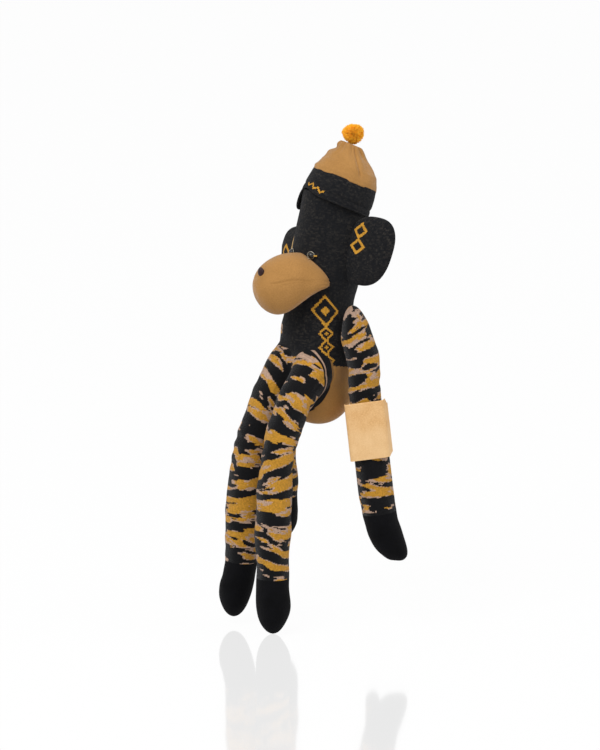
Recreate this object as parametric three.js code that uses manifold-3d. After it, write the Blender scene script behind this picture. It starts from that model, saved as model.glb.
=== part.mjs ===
// Sock monkey doll: stuffed tubes of knitted sock, sewn together, with a hat, a pompom and a paper sleeve.
// Millimetres, +Z up. The doll hangs facing -Y with its left side towards +X. The origin is the point
// between its shoulders that holds it up.

import * as THREE from "three";
import { mergeVertices } from "three/addons/utils/BufferGeometryUtils.js";
import Module from "manifold-3d";

const wasm = await Module();
wasm.setup();

// Clearances and overruns
const seamGap = 0.3;
const cutOverrun = 20;
const mergeDistance = 0.0001;

// Body tube: torso above, heel patch below
const torsoRadius = 34;
const neckRimInset = 1.6;
const neckRimDrop = 8;
const shoulderDrop = 19;
const waistInset = 1.6;
const waistDrop = 55;
const bodyLength = 106.7;
const seatDome = 31.5;
const seatFlatDepth = 1;
const heelLineDrop = 46;
const heelLineTilt = 12;
const hangHeight = 5;

// Neck and head
const neckHeight = 24;
const neckSetBack = 1.2;
const headLean = 12;
const neckBallInset = 3;
const neckBallRadius = torsoRadius - neckBallInset;
const neckWaistHeight = 8.5;
const cheekInset = 0.2;
const cheekRadius = torsoRadius - cheekInset;
const cheekHeight = 30;
const browInset = 1.4;
const browRadius = torsoRadius - browInset;
const browHeight = 88;
const headTopForward = 3;
const headTopHeight = 128;
const headTopDome = 34;

// Muzzle and nose
const muzzleWidth = 57;
const muzzleLength = 82;
const muzzleTall = 58;
const muzzleForward = 40.9;
const muzzleHeight = 18.3;
const muzzleSpread = 0.24;
const muzzleSpreadFrom = 12;
const muzzleSpreadTo = 24;
const upperPinch = 0.3;
const lowerPinch = 0.72;
const lowerPinchFrom = 20;
const lowerPinchTo = 18;
const muzzleSag = 0.1;
const muzzleSagFrom = 2;
const muzzleSagTo = 26;
const noseWidth = 7.8;
const noseTall = 9.4;
const noseRise = 32;
const noseProud = 1;

// Eyes
const eyeTurn = 21;
const eyeRise = 1.9;
const eyeHeight = muzzleHeight + muzzleTall / 2 + eyeRise;
const beadRadius = 2.5;
const beadTall = 4.2;
const beadRoom = 0.4;
const sequinWire = 0.5;
const sequinRadius = beadRadius + beadRoom + sequinWire;

// Ears
const earHeight = 66;
const earWidth = 54;
const earThickness = 15;
const earRim = 1.8;
const earSunk = 10.8;
const earOut = cheekRadius + earWidth / 2 - earSunk;
const earBack = 5.6;
const earRise = 27.2;
const earLevel = earRise + earHeight / 2;
const rightEarDrop = 14;
const rightEarSetOut = 4;
const rightEarSetBack = 5;
const earSweep = 15;
const earShear = 0.2;
const earSquareness = 2.6;

// Hat and pompom
const hatDepth = 29.6;
const hatLevel = headTopHeight - hatDepth;
const hatForward = 1.6;
const hatLean = 13;
const hatTilt = 5;
const brimProud = 2.1;
const brimRadius = browRadius + brimProud;
const brimTall = 24.5;
const brimSetBack = 2.4;
const brimArch = 5;
const brimArchTurn = -17;
const brimArchSpread = 26;
const brimDroop = 17;
const brimDroopTurn = -68;
const brimDroopSpread = 30;
const crownInset = 3.5;
const crownRadius = brimRadius - crownInset;
const crownTall = 33;
const crownBend = 6.8;
const crownSideBend = 4.2;
const crownTopRadius = 14.5;
const crownDome = 7;
const gatherDepth = 1.4;
const pompomRadius = 10.3;

// Arms and hands
const upperArmRadius = 15.9;
const shoulderPress = 4.3;
const shoulderOut = torsoRadius + upperArmRadius - shoulderPress;
const leftShoulderBack = 5.6;
const rightShoulderBack = 11;
const shoulderHeight = 13.5;
const armTop = 17;
const armLength = 247;
const armSplay = 8.5;
const leftArmBack = 3.9;
const rightArmBack = 1.5;
const leftArmTopDome = 50;
const rightArmTopDome = 38;
const upperArmAt = 42;
const rightArmTopInset = 2.5;
const elbowInset = 0.9;
const elbowRadius = upperArmRadius - elbowInset;
const elbowAt = 74;
const handLength = 47;
const cuffAt = armLength - handLength;
const forearmSwell = 1;
const forearmRadius = upperArmRadius + forearmSwell;
const forearmAboveCuff = 50;
const forearmAt = cuffAt - forearmAboveCuff;
const handInset = 0.2;
const handRadius = upperArmRadius - handInset;
const handDome = 22;

// Paper sleeve round the left forearm
const paperThickness = 0.5;
const paperSlack = 0.4;
const paperHalfWidth = forearmRadius + paperSlack;
const paperCorner = 10;
const paperTall = 55;
const paperAboveCuff = 54;
const paperAt = cuffAt - paperAboveCuff - paperTall;
const paperTurn = 49;

// Legs and feet
const hipHalfWidth = 17.2;
const hipParting = 4;
const hipOut = hipHalfWidth + hipParting / 2;
const hipForward = 22;
const hipDrop = 34;
const hipRadius = 21;
const thighInset = 0.8;
const thighRadius = hipHalfWidth - thighInset;
const leftThighForward = 28;
const rightThighForward = 23;
const thighDrop = 28;
const leftKneeForward = 48;
const rightKneeForward = 46;
const kneeDrop = 78;
const kneeRadius = 15.3;
const leftCalfForward = 55;
const rightCalfForward = 51;
const calfDrop = 140;
const calfRadius = 17.5;
const ankleRadius = 15.4;
const footForward = 58;
const footRadius = 16.4;
const footTipInset = 1.4;
const footLength = 55;
const footDome = 28;
const footSplay = 7;
const leftLegDrop = 245;
const rightLegDrop = 238;
const seatedAngle = 80;
const backSwing = 5;

// Tail
const tailHeight = -14;
const tailBallRadius = 10;
const tailBallSink = 1;
const tailRadius = 7.6;
const tailTipRadius = 6.6;
const tailTipDome = 7;
const tailArchBack = 18;
const tailArchDrop = 7;
const tailFallBack = 32;
const tailFallDrop = 42;
const tailHangBack = 37;
const tailDrop = 178;

// Fineness of the faceted surfaces
const bodySides = 24;
const limbSides = 14;
const tailSides = 10;
const domeRings = 5;
const beadSides = 12;
const thighBowSteps = 100;
const bodyRingSpacing = 13;
const limbRingSpacing = 20;
const gatherCount = 7;

// How full the ear is from its middle to its rim, as shares of its radius and of half its thickness
const earFullnessShares = [
  [0, 1],
  [0.4, 0.95],
  [0.68, 0.78],
  [0.87, 0.5],
];

// How wide the crown still is a third of the way up, as a share of its seam
const crownSwellShare = 0.885;

const radians = THREE.MathUtils.degToRad;
const along = new THREE.Vector3(1, 0, 0);

// Solids

function solidOf(geometry) {
  const bare = geometry.clone();
  bare.deleteAttribute("normal");
  bare.deleteAttribute("uv");
  const merged = mergeVertices(bare, mergeDistance);
  return new wasm.Manifold(
    new wasm.Mesh({
      numProp: 3,
      vertProperties: merged.attributes.position.array,
      triVerts: new Uint32Array(merged.index.array),
    }),
  );
}

function geometryOf(solid) {
  const mesh = solid.getMesh();
  const geometry = new THREE.BufferGeometry();
  geometry.setAttribute("position", new THREE.BufferAttribute(mesh.vertProperties, 3));
  geometry.setIndex(new THREE.BufferAttribute(mesh.triVerts, 1));
  geometry.computeVertexNormals();
  return geometry;
}

function without(geometry, ...tools) {
  return geometryOf(tools.reduce((rest, tool) => rest.subtract(solidOf(tool)), solidOf(geometry)));
}

function joined(geometry, ...others) {
  return geometryOf(others.reduce((whole, other) => whole.add(solidOf(other)), solidOf(geometry)));
}

// The radius of a faceted ball whose flats still clear a round of the given radius
function clearRadius(radius, sides) {
  return (radius + seamGap) / Math.cos(Math.PI / sides) ** 2;
}

// A stuffed form round a path. Its stations are pairs of a length along the path and a radius there.
// Each end closes as a dome of the given length, or flat where that is zero.

function pointOn(path, reach) {
  const length = path.getLength();
  const share = THREE.MathUtils.clamp(reach / length, 0, 1);
  const tangent = path.getTangentAt(share);
  const point = path.getPointAt(share).addScaledVector(tangent, reach - share * length);
  return { point, tangent };
}

function radiusOn(stations, reach) {
  const [reaches, radii] = [0, 1].map((column) => stations.map((station) => station[column]));
  const within = THREE.MathUtils.clamp(reach, reaches[0], reaches.at(-1));
  return new THREE.CubicInterpolant(reaches, radii, 1).evaluate(within)[0];
}

// Rings from a pole outwards: where each ring sits once grown, where its radius is read, how full it is
function ringsOfEnd(end, inwards, dome, grow) {
  if (dome === 0) {
    return [{ at: end - inwards * grow, reach: end, fullness: 1 }];
  }
  return Array.from({ length: domeRings }, (_, index) => {
    const turn = ((index + 1) / domeRings) * (Math.PI / 2);
    const reach = end + inwards * dome * (1 - Math.cos(turn));
    return { at: reach - inwards * grow * Math.cos(turn), reach, fullness: Math.sin(turn) };
  });
}

function ringsOf(from, to, startDome, endDome, spacing, grow) {
  const straight = to - from - startDome - endDome;
  const steps = Math.max(1, Math.round(straight / spacing));
  const middle = Array.from({ length: steps - 1 }, (_, index) => {
    const reach = from + startDome + (straight * (index + 1)) / steps;
    return { at: reach, reach, fullness: 1 };
  });
  const start = ringsOfEnd(from, 1, startDome, grow);
  const end = ringsOfEnd(to, -1, endDome, grow).reverse();
  return [...start, ...middle, ...end];
}

function stuffedForm(path, stations, options = {}) {
  const { from = 0, to = path.getLength(), startDome = 0, endDome = 0 } = options;
  const { sides = limbSides, spacing = limbRingSpacing, grow = 0, ripple = () => 0 } = options;
  const rings = ringsOf(from, to, startDome, endDome, spacing, grow);
  const vertices = [...pointOn(path, from - grow).point];
  for (const { at, reach, fullness } of rings) {
    const { point, tangent } = pointOn(path, at);
    const side = along.clone().addScaledVector(tangent, -along.dot(tangent)).normalize();
    const front = tangent.clone().cross(side);
    for (let index = 0; index < sides; index++) {
      const angle = (index / sides) * 2 * Math.PI;
      const radius = (radiusOn(stations, reach) + grow + ripple(reach, angle)) * fullness;
      const spoke = side.clone().multiplyScalar(Math.cos(angle)).addScaledVector(front, Math.sin(angle));
      vertices.push(...point.clone().addScaledVector(spoke, radius));
    }
  }
  vertices.push(...pointOn(path, to + grow).point);
  const geometry = new THREE.BufferGeometry();
  geometry.setAttribute("position", new THREE.Float32BufferAttribute(vertices, 3));
  geometry.setIndex(facesOf(rings.length, sides));
  geometry.computeVertexNormals();
  return geometry;
}

// The faces of a form whose vertices are a pole, its rings and the other pole
function facesOf(ringCount, sides) {
  const vertex = (ring, index) => 1 + ring * sides + (index % sides);
  const lastRing = ringCount - 1;
  const farPole = 1 + ringCount * sides;
  const faces = [];
  for (let index = 0; index < sides; index++) {
    faces.push(0, vertex(0, index + 1), vertex(0, index));
    faces.push(farPole, vertex(lastRing, index), vertex(lastRing, index + 1));
    for (let ring = 0; ring < lastRing; ring++) {
      const [a, b] = [vertex(ring, index), vertex(ring, index + 1)];
      const [c, d] = [vertex(ring + 1, index + 1), vertex(ring + 1, index)];
      faces.push(a, b, c, a, c, d);
    }
  }
  return faces;
}

function straightPath(from, to) {
  return new THREE.LineCurve3(from, to);
}

function ellipsoid(halfX, halfY, halfZ, sides = limbSides) {
  const geometry = new THREE.SphereGeometry(1, sides, sides / 2);
  geometry.rotateX(Math.PI / 2);
  return geometry.scale(halfX, halfY, halfZ);
}

// Moves each vertex of a form to where the given function puts it
function reshaped(form, place) {
  const { position } = form.attributes;
  for (let index = 0; index < position.count; index++) {
    const { x, y, z } = place(new THREE.Vector3().fromBufferAttribute(position, index));
    position.setXYZ(index, x, y, z);
  }
  return form;
}

// Materials, one for each piece's own knit or finish

function material(color, roughness, metalness = 0) {
  return () => new THREE.MeshStandardMaterial({ color, roughness, metalness });
}

const heatherKnit = material(0x26262a, 0.95);
const tanKnit = material(0xb98b54, 0.9);
const camouflageKnit = material(0x7d6238, 0.9);
const blackKnit = material(0x101012, 0.95);
const pompomYarn = material(0xe39a1c, 1);
const kraftPaper = material(0xddb580, 0.8);
const brownBead = material(0x2a1714, 0.35);
const blackBead = material(0x0b0b0d, 0.15);
const paleMetal = material(0xcfcbc0, 0.25, 0.9);

const doll = new THREE.Group();
doll.position.set(0, -torsoRadius, -hangHeight);

function addPiece(group, name, geometry, makeMaterial) {
  const mesh = new THREE.Mesh(geometry, makeMaterial());
  mesh.name = name;
  group.add(mesh);
}

// Legs and feet, drawn from the hip

const leftLeg = {
  side: 1,
  thighForward: leftThighForward,
  kneeForward: leftKneeForward,
  calfForward: leftCalfForward,
  drop: leftLegDrop,
};
const rightLeg = {
  side: -1,
  thighForward: rightThighForward,
  kneeForward: rightKneeForward,
  calfForward: rightCalfForward,
  drop: rightLegDrop,
};
const thighAngles = [leftLeg, rightLeg].map(({ thighForward }) => Math.atan2(thighForward, thighDrop));

function legPath({ side, thighForward, kneeForward, calfForward, drop }) {
  const bend = (forward, fall) => new THREE.Vector3((side * footSplay * fall) / drop, -forward, -fall);
  return new THREE.CatmullRomCurve3([
    new THREE.Vector3(),
    bend(thighForward, thighDrop),
    bend(kneeForward, kneeDrop),
    bend(calfForward, calfDrop),
    bend(footForward, drop),
  ]);
}

function legStations({ thighForward, kneeForward }, path) {
  const length = path.getLength();
  const ankleAt = length - footLength;
  const thighLength = Math.hypot(thighForward, thighDrop);
  const kneeAt = thighLength + Math.hypot(kneeForward - thighForward, kneeDrop - thighDrop);
  const calfAt = (kneeAt + ankleAt) / 2;
  return [
    [0, thighRadius],
    [thighLength, thighRadius],
    [kneeAt, kneeRadius],
    [calfAt, calfRadius],
    [ankleAt, ankleRadius],
    [length - footDome, footRadius],
    [length, footRadius - footTipInset],
  ];
}

// The hip end turns about the sideways axis inside the body, so it is round about that axis
function hipBarrel(halfWidth, radius) {
  return ellipsoid(radius, radius, halfWidth, bodySides).rotateY(Math.PI / 2);
}

function legForm(leg, grow = 0) {
  const path = legPath(leg);
  const options = { to: path.getLength() - footLength - seamGap, sides: limbSides, grow };
  return stuffedForm(path, legStations(leg, path), options);
}

function footForm(leg) {
  const path = legPath(leg);
  const options = { from: path.getLength() - footLength, endDome: footDome };
  return stuffedForm(path, legStations(leg, path), options);
}

function addLeg(name, leg) {
  const group = new THREE.Group();
  group.position.set(leg.side * hipOut, -hipForward, -hipDrop);
  const form = joined(legForm(leg), hipBarrel(hipHalfWidth, hipRadius));
  addPiece(group, name + "_leg", form, camouflageKnit);
  addPiece(group, name + "_foot", footForm(leg), blackKnit);
  doll.add(group);
}

// The room that a leg takes in the body, at rest and swung back
function legRoom(leg) {
  const barrel = hipBarrel(clearRadius(hipHalfWidth, bodySides), clearRadius(hipRadius, bodySides));
  const swings = [0, backSwing].map((angle) => legForm(leg, seamGap).rotateX(radians(angle)));
  return joined(barrel, ...swings).translate(leg.side * hipOut, -hipForward, -hipDrop);
}

// How far a thigh bows out in front of the straight line from the hip to the thigh's end
function thighBow(leg) {
  const front = new THREE.Vector3(0, -thighDrop, leg.thighForward).normalize();
  return Math.max(...legPath(leg).getSpacedPoints(thighBowSteps).map((point) => point.dot(front)));
}

// The wedge of the lap that both thighs sweep while they rise to the seated angle
function lapRoom() {
  const seated = Math.max(...thighAngles) + radians(seatedAngle);
  const lowest = Math.min(...thighAngles);
  const exit = Math.sqrt(hipRadius ** 2 - thighRadius ** 2);
  const reach = hipRadius + torsoRadius;
  const bow = Math.max(thighBow(leftLeg), thighBow(rightLeg));
  const raised = new THREE.Vector2(Math.sin(seated), -Math.cos(seated));
  const resting = new THREE.Vector2(Math.sin(lowest), -Math.cos(lowest));
  const above = new THREE.Vector2(-raised.y, raised.x).multiplyScalar(thighRadius + bow + seamGap);
  const hip = new THREE.Vector2(hipForward, -hipDrop);
  const corner = hip.clone().addScaledVector(raised, exit).add(above);
  const far = corner.clone().addScaledVector(raised, reach);
  const low = hip.clone().addScaledVector(resting, reach);
  const width = 2 * (hipOut + footSplay + thighRadius + seamGap);
  const wedge = new THREE.ExtrudeGeometry(new THREE.Shape([hip, corner, far, low]), {
    depth: width,
    bevelEnabled: false,
  });
  // The outline is drawn forwards and upwards, and is extruded from the doll's right to its left
  wedge.translate(0, 0, -width / 2).rotateX(Math.PI / 2).rotateZ(-Math.PI / 2);
  return wedge;
}

// Tail, drawn from its root

const tailPath = new THREE.CatmullRomCurve3([
  new THREE.Vector3(),
  new THREE.Vector3(0, tailArchBack, -tailArchDrop),
  new THREE.Vector3(0, tailFallBack, -tailFallDrop),
  new THREE.Vector3(0, tailHangBack, -tailDrop),
]);
const tailRoot = new THREE.Vector3(0, torsoRadius - tailBallSink, tailHeight);

function addTail() {
  const stations = [
    [0, tailRadius],
    [tailPath.getLength(), tailTipRadius],
  ];
  const tube = stuffedForm(tailPath, stations, { endDome: tailTipDome, sides: tailSides });
  const ball = ellipsoid(tailBallRadius, tailBallRadius, tailBallRadius);
  const group = new THREE.Group();
  group.position.copy(tailRoot);
  addPiece(group, "tail", joined(tube, ball), camouflageKnit);
  doll.add(group);
}

function tailRoom() {
  const radius = clearRadius(tailBallRadius, limbSides);
  return ellipsoid(radius, radius, radius).translate(...tailRoot);
}

// Body: one tube, parted at the tilted line where the heel patch begins

function bodyForm() {
  const top = neckHeight - neckRimDrop;
  const path = straightPath(new THREE.Vector3(0, 0, top), new THREE.Vector3(0, 0, top - bodyLength));
  const stations = [
    [0, torsoRadius - neckRimInset],
    [shoulderDrop - neckRimDrop, torsoRadius],
    [shoulderDrop, torsoRadius],
    [waistDrop, torsoRadius - waistInset],
    [bodyLength, torsoRadius - waistInset],
  ];
  return stuffedForm(path, stations, { endDome: seatDome, sides: bodySides, spacing: bodyRingSpacing });
}

// A slab that reaches past the body, with its lower or upper face on the heel line
function heelSlab(above) {
  const width = 2 * (torsoRadius + cutOverrun);
  const height = bodyLength;
  const slab = new THREE.BoxGeometry(width, width, height);
  slab.translate(0, 0, above ? height / 2 - seamGap : -height / 2);
  slab.rotateX(radians(-heelLineTilt));
  return slab.translate(0, 0, neckHeight - neckRimDrop - heelLineDrop);
}

function addBody() {
  const neckRadius = clearRadius(neckBallRadius, bodySides);
  const neckBowl = ellipsoid(neckRadius, neckRadius, neckRadius, bodySides);
  neckBowl.translate(0, neckSetBack, neckHeight);
  const rooms = [legRoom(leftLeg), legRoom(rightLeg), lapRoom()];
  const torso = without(bodyForm(), heelSlab(false), neckBowl, tailRoom(), ...rooms);
  addPiece(doll, "torso", torso, heatherKnit);

  const seatBottom = neckHeight - neckRimDrop - bodyLength + seatFlatDepth;
  const floor = new THREE.BoxGeometry(2 * torsoRadius, 2 * torsoRadius, cutOverrun);
  floor.translate(0, 0, seatBottom - cutOverrun / 2);
  const seat = without(bodyForm(), heelSlab(true), floor, ...rooms);
  addPiece(doll, "seat_heel", seat, tanKnit);
}

// Head, drawn from the neck ball's middle, with everything that is sewn on it

const headPath = new THREE.CatmullRomCurve3([
  new THREE.Vector3(0, 0, -neckBallRadius),
  new THREE.Vector3(),
  new THREE.Vector3(0, 0, neckBallRadius),
  new THREE.Vector3(0, -hatForward, hatLevel),
  new THREE.Vector3(0, -headTopForward, headTopHeight),
]);
const headStations = [
  [0, neckBallRadius],
  [neckBallRadius / 2, neckBallRadius],
  [neckBallRadius, neckBallRadius],
  [neckBallRadius + neckWaistHeight, Math.sqrt(neckBallRadius ** 2 - neckWaistHeight ** 2)],
  [neckBallRadius + cheekHeight, cheekRadius],
  [neckBallRadius + browHeight, browRadius],
  [neckBallRadius + headTopHeight, browRadius],
];

function headForm(grow = 0) {
  const options = { startDome: neckBallRadius, endDome: headTopDome, sides: bodySides, grow };
  return stuffedForm(headPath, headStations, { ...options, spacing: bodyRingSpacing });
}

function muzzleForm(grow = 0) {
  const [width, length, tall] = [muzzleWidth, muzzleLength, muzzleTall].map((size) => size / 2 + grow);
  const form = reshaped(ellipsoid(width, tall, length, bodySides).rotateX(Math.PI / 2), cornered);
  return form.rotateX(radians(headLean)).translate(0, -muzzleForward, muzzleHeight);
}

// The muzzle narrows to a corner on each side of the face, where its seam turns back under it, and
// sags a little in front
function cornered({ x, y, z }) {
  const { smoothstep } = THREE.MathUtils;
  const back = smoothstep(y, -muzzleSpreadFrom, muzzleSpreadTo);
  const aside = Math.min(1, Math.abs(x) / (muzzleWidth / 2));
  const upper = 1 - upperPinch * back * aside;
  const sag = muzzleSag * smoothstep(-y, muzzleSagFrom, muzzleSagTo);
  const lower = 1 + sag - lowerPinch * smoothstep(y, -lowerPinchFrom, lowerPinchTo);
  return { x: x * (1 + muzzleSpread * back), y, z: z * (z > 0 ? upper : lower) };
}

function noseForm() {
  const rise = radians(noseRise);
  const bead = ellipsoid(noseWidth / 2, noseWidth / 2, noseTall / 2, beadSides);
  const [length, tall] = [muzzleLength, muzzleTall].map((size) => size / 2 + noseProud);
  bead.translate(0, -length * Math.cos(rise), tall * Math.sin(rise));
  return bead.rotateX(radians(headLean)).translate(0, -muzzleForward, muzzleHeight);
}

function earForm(side, out, drop, setBack) {
  const half = earThickness / 2;
  const front = earFullnessShares.map(([out, full]) => new THREE.Vector2((out * earWidth) / 2, full * half));
  const edge = [new THREE.Vector2(earWidth / 2, earRim / 2), new THREE.Vector2(earWidth / 2, -earRim / 2)];
  const back = front.map((point) => new THREE.Vector2(point.x, -point.y)).reverse();
  const outline = [...front, ...edge, ...back].reverse();
  const disc = new THREE.LatheGeometry(outline, bodySides);
  reshaped(disc, (point) => squared(point, side));
  disc.scale(1, 1, earHeight / earWidth).rotateZ(side * radians(earSweep));
  return disc.translate(side * out, earBack + setBack, earLevel - drop);
}

// A round disc made squarer, with its upper part outwards of its lower part
function squared({ x, y, z }, side) {
  const reach = Math.hypot(x, z) || 1;
  const powers = [x, z].map((part) => Math.abs(part / reach) ** earSquareness);
  const swell = (powers[0] + powers[1] || 1) ** (-1 / earSquareness);
  return { x: (x + side * earShear * z) * swell, y, z: z * swell };
}

function addEye(head, name, side) {
  const eye = new THREE.Group();
  const turn = radians(side * eyeTurn);
  const outwards = new THREE.Vector3(Math.sin(turn), -Math.cos(turn), 0);
  const surface = radiusOn(headStations, neckBallRadius + eyeHeight) + seamGap;
  eye.position.copy(outwards).multiplyScalar(surface).setZ(eyeHeight);
  eye.quaternion.setFromUnitVectors(new THREE.Vector3(0, 0, 1), outwards);
  const sequin = new THREE.TorusGeometry(sequinRadius, sequinWire, domeRings, beadSides);
  addPiece(eye, name + "_eye_sequin", sequin.translate(0, 0, sequinWire), paleMetal);
  const bead = ellipsoid(beadRadius, beadRadius, beadTall / 2, beadSides).translate(0, 0, beadTall / 2);
  addPiece(eye, name + "_eye_bead", bead, blackBead);
  head.add(eye);
}

// Hat, drawn from the middle of the brim's lower edge

const crownRise = new THREE.Vector3(-crownSideBend, -crownBend, crownTall);

function crownForm(seam) {
  const top = seam.clone().add(crownRise);
  const path = straightPath(seam, top);
  const length = path.getLength();
  const stations = [
    [0, crownRadius],
    [length / 3, crownRadius * crownSwellShare],
    [(2 * length) / 3, (crownRadius + crownTopRadius) / 2 - gatherDepth],
    [length - crownDome, crownTopRadius],
    [length, crownTopRadius],
  ];
  const ripple = (reach, angle) => gatherDepth * Math.cos(gatherCount * angle) * Math.max(0, reach / length);
  const options = { from: -crownTall / 2, endDome: crownDome, sides: bodySides, spacing: crownDome };
  return stuffedForm(path, stations, { ...options, ripple });
}

// The brim's lower edge arches over the face and droops at the doll's right
function folded({ x, y, z }) {
  const turn = THREE.MathUtils.radToDeg(Math.atan2(x, -y));
  const share = (y * brimSetBack + z * brimTall) / (brimSetBack ** 2 + brimTall ** 2);
  const near = (middle, spread) => Math.exp(-(((turn - middle) / spread) ** 2));
  const arch = brimArch * near(brimArchTurn, brimArchSpread);
  const droop = brimDroop * near(brimDroopTurn, brimDroopSpread);
  return { x, y, z: z + (arch - droop) * Math.max(0, 1 - share) };
}

// Everything below the seam between brim and crown
function belowSeam(seam, upwards) {
  const width = 2 * (brimRadius + cutOverrun);
  const slab = new THREE.BoxGeometry(width, width, crownTall).translate(0, 0, -crownTall / 2);
  slab.applyQuaternion(new THREE.Quaternion().setFromUnitVectors(new THREE.Vector3(0, 0, 1), upwards));
  return slab.translate(...seam);
}

function addHat(head) {
  const hat = new THREE.Group();
  hat.position.set(0, -hatForward, hatLevel);
  hat.rotation.set(radians(-hatLean), radians(hatTilt), 0);
  hat.updateMatrix();
  const headInHat = headForm(seamGap).applyMatrix4(hat.matrix.clone().invert());

  const brimTop = new THREE.Vector3(0, brimSetBack, brimTall);
  const brimPath = straightPath(new THREE.Vector3(), brimTop);
  const brimStations = [
    [0, brimRadius],
    [brimPath.getLength() / 2, (2 * brimRadius + crownRadius) / 3],
    [brimPath.getLength(), crownRadius],
  ];
  const brim = stuffedForm(brimPath, brimStations, { sides: bodySides, spacing: crownDome });
  addPiece(hat, "hat_brim", without(reshaped(brim, folded), headInHat), heatherKnit);

  const upwards = brimTop.clone().normalize();
  const seam = brimTop.clone().addScaledVector(upwards, seamGap);
  addPiece(hat, "hat_crown", without(crownForm(seam), belowSeam(seam, upwards), headInHat), tanKnit);

  const pompom = new THREE.IcosahedronGeometry(pompomRadius, 3);
  const pompomReach = crownRise.length() + seamGap + pompomRadius;
  pompom.translate(...seam.clone().add(crownRise.clone().setLength(pompomReach)));
  addPiece(hat, "pompom", pompom, pompomYarn);
  head.add(hat);
}

function addHead() {
  const head = new THREE.Group();
  head.position.set(0, neckSetBack, neckHeight);
  head.rotation.x = radians(-headLean);
  addPiece(head, "head", headForm(), heatherKnit);
  addPiece(head, "muzzle", without(muzzleForm(), headForm(seamGap)), tanKnit);
  addPiece(head, "nose_bead", without(noseForm(), muzzleForm(seamGap)), brownBead);
  addPiece(head, "left_ear", without(earForm(1, earOut, 0, 0), headForm(seamGap)), heatherKnit);
  const rightEar = earForm(-1, earOut + rightEarSetOut, rightEarDrop, rightEarSetBack);
  addPiece(head, "right_ear", without(rightEar, headForm(seamGap)), heatherKnit);
  addEye(head, "left", 1);
  addEye(head, "right", -1);
  addHat(head);
  doll.add(head);
}

// Arms, drawn from the shoulder, flat where they lie against the torso

const leftArm = {
  side: 1,
  shoulderBack: leftShoulderBack,
  back: leftArmBack,
  topDome: leftArmTopDome,
  topInset: 0,
};
const rightArm = {
  side: -1,
  shoulderBack: rightShoulderBack,
  back: rightArmBack,
  topDome: rightArmTopDome,
  topInset: rightArmTopInset,
};

function armPath({ side, back }) {
  const direction = new THREE.Vector3(
    side * Math.tan(radians(armSplay)),
    Math.tan(radians(back)),
    -1,
  ).normalize();
  const top = direction.clone().multiplyScalar(-armTop);
  return straightPath(top, top.clone().addScaledVector(direction, armLength));
}

function armStations({ topInset }) {
  return [
    [0, upperArmRadius - topInset],
    [upperArmAt, upperArmRadius - topInset],
    [elbowAt, elbowRadius],
    [forearmAt, forearmRadius],
    [cuffAt, upperArmRadius],
    [armLength - handDome, handRadius],
    [armLength, handRadius],
  ];
}

function addArm(name, arm) {
  const group = new THREE.Group();
  const path = armPath(arm);
  const out = shoulderOut - arm.topInset;
  group.position.set(arm.side * out, arm.shoulderBack, shoulderHeight);
  const stations = armStations(arm);
  const form = stuffedForm(path, stations, { to: cuffAt - seamGap, startDome: arm.topDome });
  const hand = stuffedForm(path, stations, { from: cuffAt, endDome: handDome });
  const inner = new THREE.BoxGeometry(2 * torsoRadius, armLength, 2 * armLength);
  inner.translate(arm.side * (seamGap - out), 0, 0);
  addPiece(group, name + "_arm", without(form, inner), camouflageKnit);
  addPiece(group, name + "_hand", hand, blackKnit);
  doll.add(group);
  return group;
}

// A square paper band with round corners, one flat turned towards the doll's front left
function sleeveForm() {
  const outline = roundedSquare(THREE.Shape, paperHalfWidth + paperThickness, paperCorner + paperThickness);
  outline.holes.push(roundedSquare(THREE.Path, paperHalfWidth, paperCorner));
  const band = new THREE.ExtrudeGeometry(outline, {
    depth: paperTall,
    bevelEnabled: false,
    curveSegments: domeRings,
  });
  const { point, tangent } = pointOn(armPath(leftArm), paperAt + paperTall);
  const upwards = tangent.clone().negate();
  const lean = new THREE.Quaternion().setFromUnitVectors(new THREE.Vector3(0, 0, 1), upwards);
  return band.rotateZ(radians(paperTurn)).applyQuaternion(lean).translate(...point);
}

function roundedSquare(Outline, half, corner) {
  const outline = new Outline();
  const flat = half - corner;
  [0, 1, 2, 3].forEach((quarter) => {
    const start = (quarter * Math.PI) / 2;
    const [x, y] = [[flat, flat], [-flat, flat], [-flat, -flat], [flat, -flat]][quarter];
    outline.absarc(x, y, corner, start, start + Math.PI / 2, false);
  });
  outline.closePath();
  return outline;
}

addBody();
addHead();
const sleevedArm = addArm("left", leftArm);
addArm("right", rightArm);
addPiece(sleevedArm, "paper_sleeve", sleeveForm(), kraftPaper);
addLeg("left", leftLeg);
addLeg("right", rightLeg);
addTail();

export default doll;
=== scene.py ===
"""The looks of the sock monkey doll: knitted skins, hat, pompom, beads and paper sleeve.

Shapes are worked out in the doll's own frame: millimetres, +X to its left, +Y to its back, +Z up, with
the body tube's middle at X = Y = 0. to_row() turns them into the row frame, in metres.
"""

import math

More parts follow.
